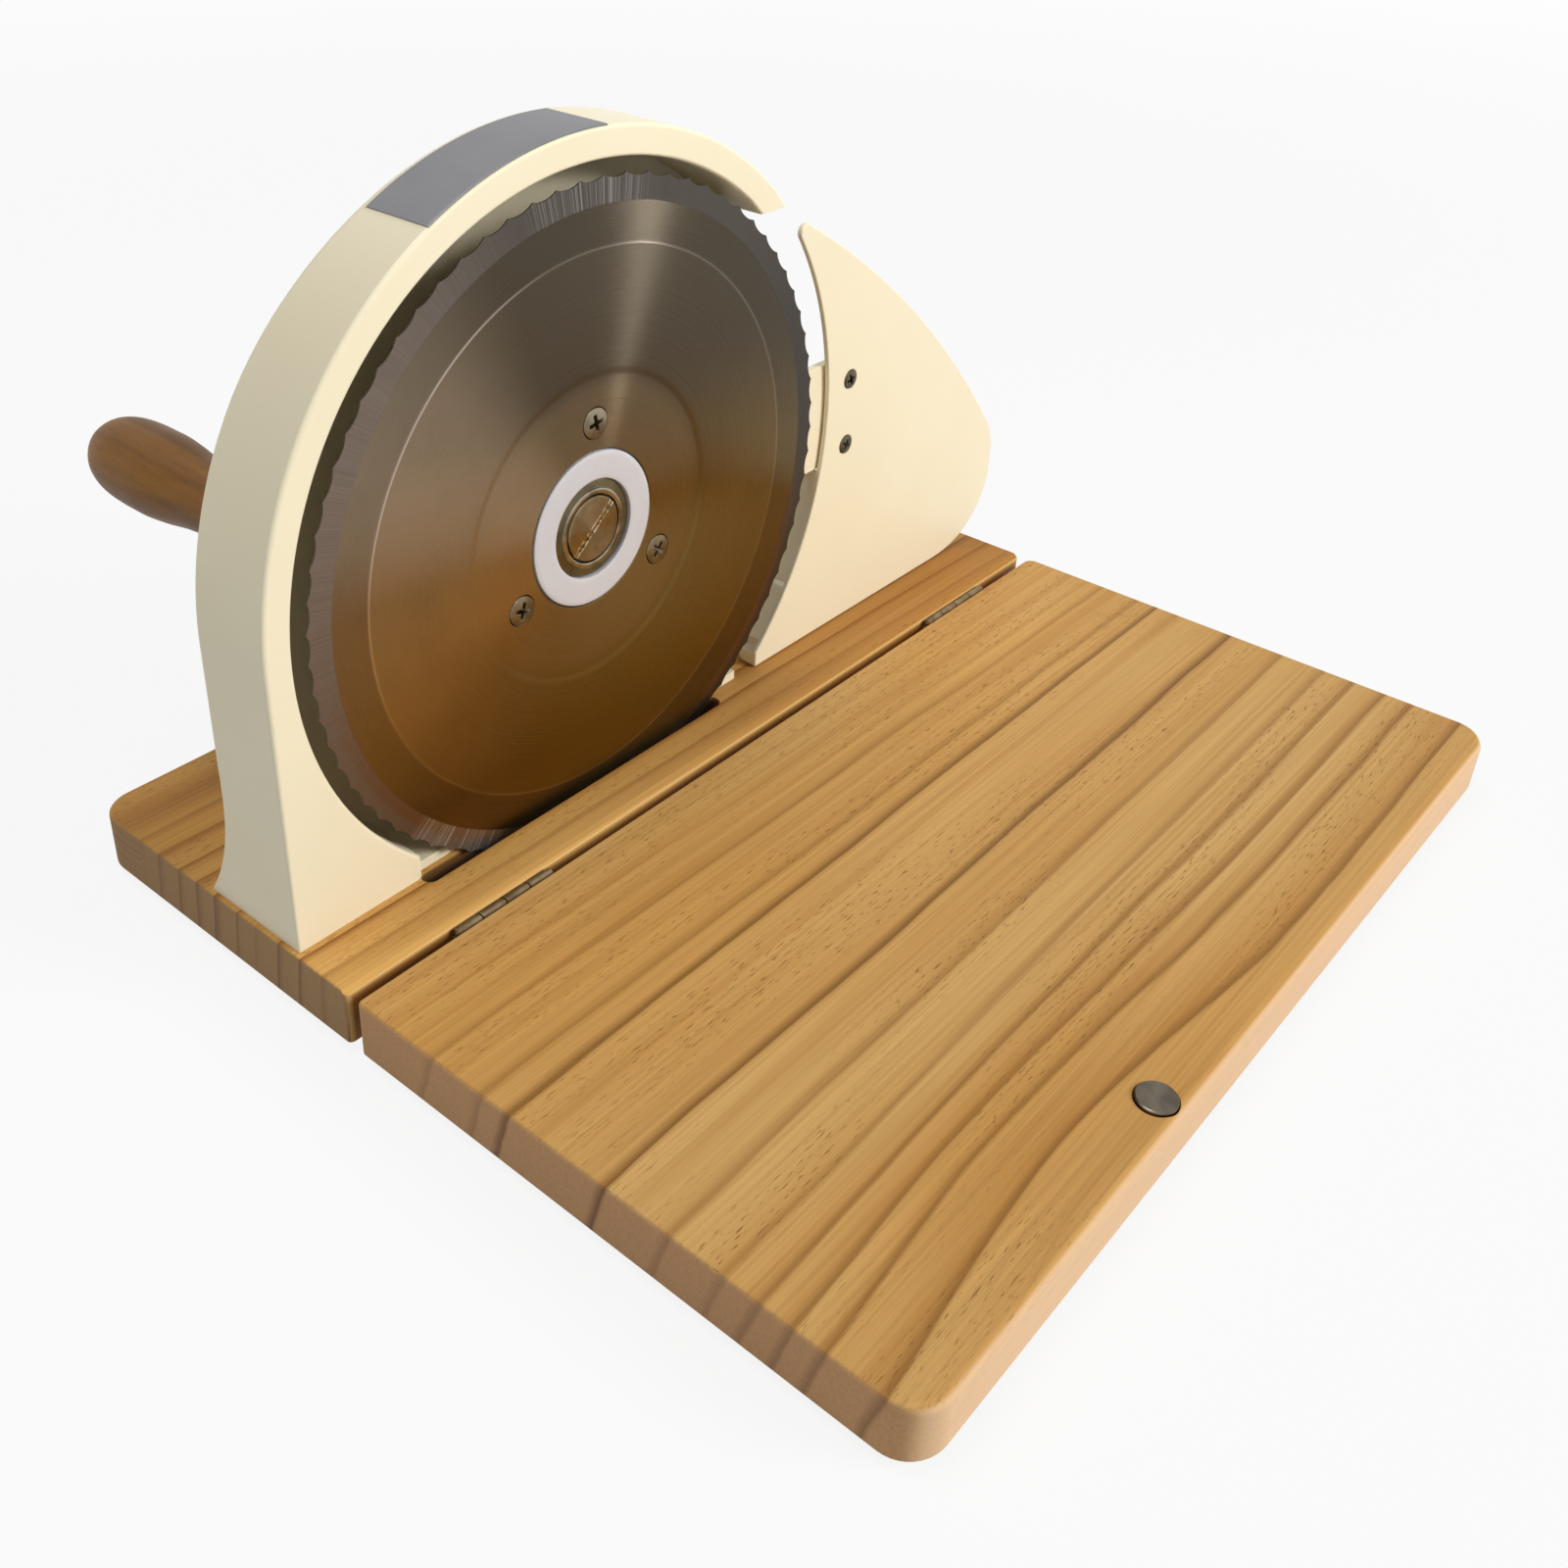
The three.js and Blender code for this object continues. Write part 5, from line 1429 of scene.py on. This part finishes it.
# %% Gear and pinion
boss_profile = [
    (14.3, -4.0), (14.3, 0.0), (14.45, 0.28), (14.9, 0.46), (16.0, 0.50), (20.6, 0.50),
    (21.6, 0.42), (22.1, 0.2), (22.3, -0.2), (22.3, -16.6), (10.1, -16.6), (10.1, -4.0),
    (14.3, -4.0),
]
make("nylon_gear_boss", [turned(boss_profile, 96)], nylon, "gear", blade_place)
broken = {"edge": 0.2, "sharper_than": 70, "steps": 1}
wheel = upright(gear_outline(GEAR_TEETH, math.pi / 2), -1.7, -11.7)
make("nylon_gear_wheel", [wheel], nylon, "gear", blade_place, **broken)
pinion_place = put(crank_centre.x, BLADE_FACE, crank_centre.z, FRONT)
into_gap = -math.pi / 2 + math.pi / PINION_TEETH
pinion_wheel = upright(gear_outline(PINION_TEETH, into_gap), -2.7, -12.7)
pinion_collar = turned([
    (5.3, -11.7), (8.8, -11.7), (8.8, -15.9), (8.4, -16.3), (5.3, -16.3), (5.3, -11.7),
], 40)
make("nylon_pinion", [pinion_wheel, pinion_collar], nylon, "pinion", pinion_place, **broken)
print("teeth", GEAR_TEETH, "and", PINION_TEETH)

# %% Washer, slotted screw and axle
LIP = [(10.0, -0.1), (10.15, 0.05), (10.4, 0.1), (11.0, 0.1), (11.3, 0.05), (11.5, -0.1)]
SKIN = 0.02
washer_profile = [(4.8, -2.1), (10.0, -2.1)] + LIP + [
    (11.6, -0.4), (11.9, -0.5), (13.6, -0.5), (13.9, -0.62), (14.0, -0.8), (14.0, -3.7),
    (4.8, -3.7), (4.8, -2.1),
]
make("lipped_washer", [turned(washer_profile, 96)], washer_steel, "axle_washer", blade_place)
lip_low = LIP[0][1] - 0.18
lip_profile = [(radius, height + SKIN) for radius, height in LIP]
lip_profile = [(LIP[0][0], lip_low)] + lip_profile + [(LIP[-1][0], lip_low), (LIP[0][0], lip_low)]
make("bright_washer_lip", [turned(lip_profile, 96)], lip_steel, "axle_washer", blade_place)
screw_head = [
    (0, -12.8), (4.5, -12.8), (4.5, -1.8), (9.7, -1.8), (9.7, -1.0),
    (9.45, -0.1), (9.25, 0.18), (8.8, 0.3), (0, 0.3),
]
slot_turn = Matrix.Rotation(SLOT_TURN, 4, "Z")
slot_outline = [(-20, -0.5), (20, -0.5), (20, 0.5), (-20, 0.5)]
slot_cut = posed(upright(slot_outline, -0.3, 3), slot_turn)
make(
    "slotted_screw", [turned(screw_head, 96)], hub_steel, "axle_screw", blade_place,
    tools=[slot_cut], edge=0.25, sharper_than=60,
)
axle_profile = [
    (0, -30.7), (5.4, -30.7), (6.0, -30.1), (6.0, -16.7), (9.7, -16.7), (9.7, -4.0),
    (4.8, -4.0), (4.8, -13.1), (0, -13.1),
]
make("turned_axle", [turned(axle_profile)], screw_steel, "axle", blade_place)
print("washer across in mm", 2 * max(radius for radius, _ in washer_profile))

# %% [markdown]
# ## Crank and grip
# Behind the guard the crank shaft runs in a bronze bush and carries a flat steel arm under a nut.
# The wooden grip turns freely on a pin at the arm's other end. The grip's profile was drawn
# through a few measured radii, and a smooth curve is laid through them so the lathe leaves no
# ridges.

# %% Nuts, bush and shaft
def hex_nut(radius, bore, front, back):
    hexagon = arc(0, 0, radius, 0, 360, 6)[:-1]
    hole = arc(0, 0, bore, 0, 360, 36)[:-1]
    return upright(hexagon, front, back), upright(hole, front + 3, back - 3)


body, hole = hex_nut(10.0, 6.3, -25.6, -30.1)
make("axle_hex_nut", [body], screw_steel, "axle_nut", blade_place, tools=[hole], edge=0.5)
arm_low, arm_high = span("crank_arm")
nut_low, nut_high = span("crank_nut")
crank_place = put(crank_centre.x, 0, crank_centre.z, FRONT)
body, hole = hex_nut(8.5, 5.3, -nut_low.y, -nut_high.y)
make("crank_hex_nut", [body], screw_steel, "crank_nut", crank_place, tools=[hole], edge=0.5)
shaft_low, shaft_high = span("crank_shaft")
shaft_profile = [
    (0, -shaft_high.y), (4.2, -shaft_high.y), (5.0, -shaft_high.y + 0.8), (5.0, -shaft_low.y - 0.6),
    (4.4, -shaft_low.y), (0, -shaft_low.y),
]
make("crank_shaft_rod", [turned(shaft_profile, 40)], screw_steel, "crank_shaft", crank_place)
bush_low, bush_high = span("crank_bush")
collar_front = -bush_high.y + 0.9
bush_profile = [
    (5.4, -bush_low.y), (8.1, -bush_low.y), (8.1, collar_front), (11.0, collar_front),
    (11.0, -bush_high.y + 0.2), (10.8, -bush_high.y), (5.4, -bush_high.y), (5.4, -bush_low.y),
]
make("bronze_crank_bush", [turned(bush_profile)], bronze, "crank_bush", crank_place)
print("shaft length in mm", round(shaft_high.y - shaft_low.y, 1))

# %% Crank arm
ARM_ROUND = 8.5
grip_centre = middle("grip")
swing = math.degrees(math.atan2(grip_centre.z - crank_centre.z, grip_centre.x - crank_centre.x))
arm_outline = arc(crank_centre.x, crank_centre.z, ARM_ROUND, swing + 90, swing + 270, 20)
arm_outline += arc(grip_centre.x, grip_centre.z, ARM_ROUND, swing - 90, swing + 90, 20)
arm = slab(arm_outline, arm_low.y, arm_high.y)
make("steel_crank_arm", [arm], arm_steel, "crank_arm", edge=0.9, steps=3)
print("crank arm stands at", round(swing, 1), "degrees")

# %% Grip and its pin
GRIP_RADII = [
    (0, 7.2), (0.03, 8), (0.22, 8.4), (0.44, 9.8), (0.56, 11.3), (0.66, 12.1),
    (0.76, 12.1), (0.85, 11.6), (0.92, 10.2), (0.965, 8.2), (0.99, 6.6), (1, 5.8),
]
GRIP_BORE, SEAT_RADIUS, SEAT_DEPTH = 3.4, 5.2, 4.6


def through(points, per_span):
    smooth = []
    for k in range(len(points) - 1):
        before = Vector(points[max(k - 1, 0)])
        start, end = Vector(points[k]), Vector(points[k + 1])
        after = Vector(points[min(k + 2, len(points) - 1)])
        width = end.x - start.x
        rise_in = (end.y - before.y) / max(end.x - before.x, 1e-6) * width
        rise_out = (after.y - start.y) / max(after.x - start.x, 1e-6) * width
        for i in range(per_span):
            t = i / per_span
            value = (2 * t ** 3 - 3 * t ** 2 + 1) * start.y + (t ** 3 - 2 * t ** 2 + t) * rise_in
            value += (-2 * t ** 3 + 3 * t ** 2) * end.y + (t ** 3 - t ** 2) * rise_out
            smooth.append((start.x + width * t, value))
    return smooth + [tuple(points[-1])]


grip_low, grip_high = span("grip")
grip_length, widest = grip_high.y - grip_low.y, (grip_high.x - grip_low.x) / 2
grip_profile = [(GRIP_BORE, 0)]
for share, radius in through(GRIP_RADII, 5):
    grip_profile.append((min(radius, widest), share * grip_length))
seat_floor = grip_length - SEAT_DEPTH
grip_profile += [(SEAT_RADIUS, grip_length), (SEAT_RADIUS, seat_floor)]
grip_profile += [(GRIP_BORE, seat_floor), (GRIP_BORE, 0)]
grip_place = put(grip_centre.x, grip_low.y, grip_centre.z, BACK)
make("turned_grip", [turned(grip_profile, 64)], grip_wood, "grip", grip_place)
pin_low, pin_high = span("grip_pin")
collar = arm_low.y - 0.3 - pin_low.y
pin_length = pin_high.y - pin_low.y
pin_profile = [
    (0, 0), (4.2, 0), (4.8, 0.5), (4.8, collar), (3, collar), (3, pin_length - 2.6),
    (4.8, pin_length - 2.6), (4.8, pin_length - 0.8), (4.2, pin_length - 0.2),
    (3.0, pin_length), (0, pin_length),
]
pin_place = put(grip_centre.x, pin_low.y, grip_centre.z, BACK)
make("grip_pin_steel", [turned(pin_profile, 40)], screw_steel, "grip_pin", pin_place)
print("grip length in mm", round(grip_length, 1), "pin", round(pin_length, 1))

# %% [markdown]
# ## Thickness plate
# The plate is sawn from sheet: a hollow edge that follows the blade, a small round tip, a long
# curved back and a soft heel. A drawn curve object could be filled, but an outline in plain
# numbers can be checked against the solid, and the slab builder with broken edges gives the
# thickness. A flange with a relief slit stiffens the hollow edge, and a small nose steadies the
# lower left corner.

# %% Outline of the thickness plate
PLATE_THICK, HOLLOW = 1.8, 106.5
TIP_ANGLE, TIP_ROUND = 34.2, 2.6
HEEL_RISE, CROWN = 46.8, 13.6
fence_low, fence_high = span("fence_plate")
PLATE_FRONT, PLATE_BACK = fence_low.y, fence_low.y + PLATE_THICK
toe_turn = math.degrees(math.asin((AXIS_Z - 5.4) / HOLLOW))
toe_x = AXIS_X + HOLLOW * math.cos(math.radians(toe_turn))


def bend(points, steps):
    path = []
    for i in range(1, steps + 1):
        t = i / steps
        level = [Vector(point) for point in points]
        while len(level) > 1:
            level = [a.lerp(b, t) for a, b in zip(level, level[1:])]
        path.append(tuple(level[0]))
    return path


tip_centre = on_circle(HOLLOW + TIP_ROUND, TIP_ANGLE)
tip = arc(*tip_centre, TIP_ROUND, TIP_ANGLE + 180, 50, 10)
tip_end = Vector(tip[-1])
plate_end = fence_high.x
heel_start = Vector((plate_end - 5.5, HEEL_RISE))
chord = heel_start - tip_end
crown = Vector((-chord.y, chord.x)).normalized() * CROWN
control = (tip_end + heel_start) / 2 + crown
fall = (heel_start - control).normalized() * HEEL_RISE * 0.4
heel = [heel_start, heel_start + fall]
heel += [(plate_end + 2.6, fence_low.z), (plate_end - 33, fence_low.z)]
hollow_edge = arc(AXIS_X, AXIS_Z, HOLLOW, -toe_turn, TIP_ANGLE, 44)[:-1]
outline = [(toe_x, fence_low.z)] + hollow_edge + tip
outline += bend([tip_end, control, heel_start], 28)
outline += [(min(x, plate_end), z) for x, z in bend(heel, 28)]
print("plate outline has", len(outline), "points")

# %% Thickness plate, nose and flange
make(
    "cream_thickness_plate", [slab(outline, PLATE_FRONT, PLATE_BACK)], cream, "fence_plate",
    edge=0.6, steps=3, holes=plate_holes,
)
nose_section = [(toe_x + 0.2, PLATE_BACK - 0.9), (toe_x + 10.8, PLATE_BACK - 0.9)]
nose_section += arc(toe_x + 5.5, PLATE_BACK + 2.5, 5.3, 0, 180, 14)
nose = upright(nose_section, fence_low.z, 5.0)
make("cream_plate_nose", [nose], cream, "fence_plate", edge=0.5, sharper_than=60)


def flange(low, high):
    turns = [math.degrees(math.asin((z - AXIS_Z) / HOLLOW)) for z in (low, high)]
    inner = arc(AXIS_X, AXIS_Z, HOLLOW + 0.03, turns[0], turns[1], 16)
    outer = arc(AXIS_X, AXIS_Z, HOLLOW + PLATE_THICK, turns[1], turns[0], 16)
    return slab(inner + outer, PLATE_BACK - 0.4, fence_high.y)


for name, low, high in (("lower", 8.6, 24.0), ("upper", 25.2, 60.1)):
    part = flange(low, high)
    make(f"cream_plate_flange_{name}", [part], cream, "fence_plate", edge=0.35, sharper_than=60)
print("flange depth in mm", round(fence_high.y - PLATE_BACK, 1))

# %% [markdown]
# ## Carriage, pedestal and knob
# Behind the plate a bracket carries it on a slotted bar, which slides between two cheeks of a
# pedestal and is clamped by a knob. These are castings in the same enamel. The pedestal's head is
# one U-shaped slab rather than three blocks, so no seam shows where the cheeks leave it, and its
# post swells at both ends, as a casting does where a post meets a plate.

# %% Carriage
BAR_LEFT, BAR_RIGHT, BAR_HEIGHT = 212.0, 231.0, 17.5
SLIDE_ROOM = 0.3
low, high = span("carriage")
bar_high = low.z + BAR_HEIGHT
block_back = low.y + 16.0
bar_slot = block(200, 245, 60.5, 83.3, 65.85, 72.65)
bracket = block(low.x, high.x, low.y, low.y + 3.0, low.z, high.z)
make("cream_carriage_bracket", [bracket], cream, "carriage", edge=0.5, holes=plate_holes)
root = block(BAR_LEFT - 1, high.x, low.y + 2.0, block_back, low.z + 0.03, bar_high)
make("cream_carriage_root", [root], cream, "carriage", edge=1.2, steps=3)
slide_bar = block(BAR_LEFT, BAR_RIGHT, block_back - 2, high.y, low.z + 0.05, bar_high - 0.03)
make(
    "cream_slide_bar", [slide_bar], cream, "carriage",
    tools=[bar_slot], edge=0.9, sharper_than=60, steps=3,
)
print("slide bar length in mm", round(high.y - block_back, 1))

# %% Pedestal
HEAD_BELOW, SOLE, OVERLAP = 10, 6, 0.2
HEAD_FRONT = 60.9
POST_RINGS, POST_CORNERS = 25, (5, 5, 5, 5)
POST_SWELL, SWELL_LOW, SWELL_HIGH = 3.6, 0.28, 0.18


def post(x0, x1, y0, y1, low, high):
    rings = []
    for i in range(POST_RINGS):
        share = i / (POST_RINGS - 1)
        near_end = max(1 - share / SWELL_LOW, 0, 1 - (1 - share) / SWELL_HIGH)
        grow = POST_SWELL * near_end ** 2
        ends = Vector((x0 - grow, y0 - grow, 0)), Vector((x1 + grow, y1 + grow, 0))
        rings.append(board_ring(*ends, POST_CORNERS, (0, 0, 0, 0), low + (high - low) * share))
    return loft(rings)


low, high = span("pedestal")
shelf = bar_high - BAR_HEIGHT - SLIDE_ROOM
head_low = shelf - HEAD_BELOW
left_cheek, right_cheek = BAR_LEFT - SLIDE_ROOM, BAR_RIGHT + SLIDE_ROOM
head = [(low.x, head_low), (high.x, head_low), (high.x, high.z), (right_cheek, high.z)]
head += [(right_cheek, shelf), (left_cheek, shelf), (left_cheek, high.z), (low.x, high.z)]
pedestal_parts = [
    slab(head, HEAD_FRONT, high.y),
    post(BAR_LEFT - 2, BAR_RIGHT + 2, 66.0, 93.8, low.z + SOLE - OVERLAP, head_low + OVERLAP),
    block(low.x, high.x, low.y, high.y, low.z, low.z + SOLE),
]
make("cream_pedestal", pedestal_parts, cream, "pedestal", edge=1.1, steps=3)
print("pedestal height in mm", round(high.z - low.z, 1))

# %% Clamp stud and knob
knob_low, knob_high = span("clamp_knob")
knob_centre = middle("clamp_knob")
LOBES, PER_LOBE, KNOB_RADIUS, FLUTE = 10, 12, 12.0, 1.2


def knob_ring(scale, height, fluted=1.0):
    ring = []
    for i in range(LOBES * PER_LOBE):
        angle = 2 * math.pi * i / (LOBES * PER_LOBE)
        radius = (KNOB_RADIUS - FLUTE * fluted * max(0.0, math.cos(angle * LOBES))) * scale
        ring.append((radius * math.cos(angle), radius * math.sin(angle), height))
    return ring


length = knob_high.x - knob_low.x
knob_rows = [(0.62, 0, 0), (0.90, 0.1), (0.97, 0.7), (1.0, 1.6), (1.0, length - 2.4)]
knob_rows += [(0.98, length - 1.2), (0.93, length - 0.4), (0.86, length, 0.6)]
knob_rows += [(0.66, length, 0), (0.62, length - 0.5, 0), (0.2, length - 0.7, 0)]
knob_place = put(knob_low.x, knob_centre.y, knob_centre.z, RIGHT)
knob = loft([knob_ring(*row) for row in knob_rows])
make("fluted_knob", [knob], knob_plastic, "clamp_knob", knob_place)
stud_low, stud_high = span("clamp_stud")
stud = rod_along_x(stud_low.x, stud_high.x, knob_centre.y, knob_centre.z, 3.0, 0.6, 32)
make("clamp_stud_rod", [stud], screw_steel, "clamp_stud")
print("knob across in mm", KNOB_RADIUS * 2)

# %% [markdown]
# ## Floor, daylight and lamps
# The slicer stands on a plain white sweep. A white floor that is only lit goes grey, so rays that
# come from the eye, or by way of a shine, see it mostly as even white, while the rest of it stays
# a real surface that keeps the shadow. That share grows with distance, so the far floor has no
# horizon. The world is a plain fill for the object and white for those rays.

# %% Floor
def seen_rays(sheet):
    path = sheet.node("ShaderNodeLightPath", {}, {}, "Is Camera Ray")
    return path.most(path.out("Is Glossy Ray")).most(path.out("Is Transmission Ray"))


WHITE, FLOOR_GREY = (1, 1, 1, 1), (0.70, 0.70, 0.70, 1)
EVEN_NEAR, FADE_START, FADE_END = 0.88, 0.5, 2.2
FLOOR_REACH = 6.0
sheet = Sheet(bpy.data.materials.new("white_sweep"))
plain = sheet.node("ShaderNodeBsdfDiffuse", {}, {"Color": FLOOR_GREY})
glow = sheet.node("ShaderNodeEmission", {}, {"Color": WHITE, "Strength": 1.0})
x, y, _ = parts_of(sheet, place_of(sheet))
far_off = step(sheet, (x * x + y * y) ** 0.5, FADE_START, FADE_END)
even = EVEN_NEAR + (1 - EVEN_NEAR) * far_off
both = sheet.node("ShaderNodeMixShader", {}, {0: seen_rays(sheet) * even, 1: plain, 2: glow})
sheet.node("ShaderNodeOutputMaterial", {}, {"Surface": both})
floor_mesh = bpy.data.meshes.new("floor")
corners = [(x * FLOOR_REACH, y * FLOOR_REACH, 0) for x, y in ((-1, -1), (1, -1), (1, 1), (-1, 1))]
floor_mesh.from_pydata(corners, [], [(0, 1, 2, 3)])
floor_mesh.materials.append(sheet.holder)
floor = stand("floor", floor_mesh)
floor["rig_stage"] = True
print("floor in m", FLOOR_REACH * 2)

# %% World
FILL = 0.18
world = bpy.data.worlds.new("studio")
bpy.context.scene.world = world
sheet = Sheet(world)
fill, white = [
    sheet.node("ShaderNodeBackground", {}, {"Color": WHITE, "Strength": level})
    for level in (FILL, 1.0)
]
sky = sheet.node("ShaderNodeMixShader", {}, {0: seen_rays(sheet), 1: fill, 2: white})
sheet.node("ShaderNodeOutputWorld", {}, {"Surface": sky})
print("fill level", FILL)

# %% [markdown]
# One large soft lamp stands in front, to the right and above, so the faces towards the feed board
# are the brightest and the left side is the darkest. It lights but is not mirrored, or the
# brushed blade would smear it into a broad fan. A weak one from above lifts the arch, and a small
# one, which is only mirrored, draws the narrow glint on the blade.

# %% Lamps
def hang(name, kind, place, aim, power):
    lamp = stand(name, bpy.data.lights.new(name, kind))
    lamp.data.energy = power
    lamp.location = place
    lamp.rotation_euler = (Vector(aim) - Vector(place)).to_track_quat("-Z", "Y").to_euler()
    print("lamp", name, "of", power, "W")
    return lamp


def soft_lamp(name, place, aim, size, power):
    lamp = hang(name, "AREA", place, aim, power)
    lamp.data.shape = "DISK"
    lamp.data.size = size
    return lamp


SLICER_MIDDLE = (0, 0, 0.08)
key = soft_lamp("key", (1.25, -2.80, 1.70), SLICER_MIDDLE, 1.6, 97.0)
key.visible_glossy = False
soft_lamp("top", (-0.5, 0.2, 1.9), SLICER_MIDDLE, 1.0, 15.0)
glint = hang("glint", "SPOT", (1.251, -1.058, 0.06), (-0.039, 0.034, 0.168), 9.0)
glint.visible_diffuse = False
glint.data.spot_size = math.radians(3.6)
glint.data.spot_blend = 0.7
glint.data.shadow_soft_size = 0.02

# %% [markdown]
# ## Measuring the result
# The dressed model should stay the size of the packed one, so its box is measured again and the
# growth of its far corner is printed.

# %% Sizes and finish
bpy.context.view_layer.update()
new_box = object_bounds()
grown = [round((new - old) / MM, 2) for old, new in zip(cad_box[1], new_box[1])]
print("pieces", len(pieces_made), "grown in mm", grown)
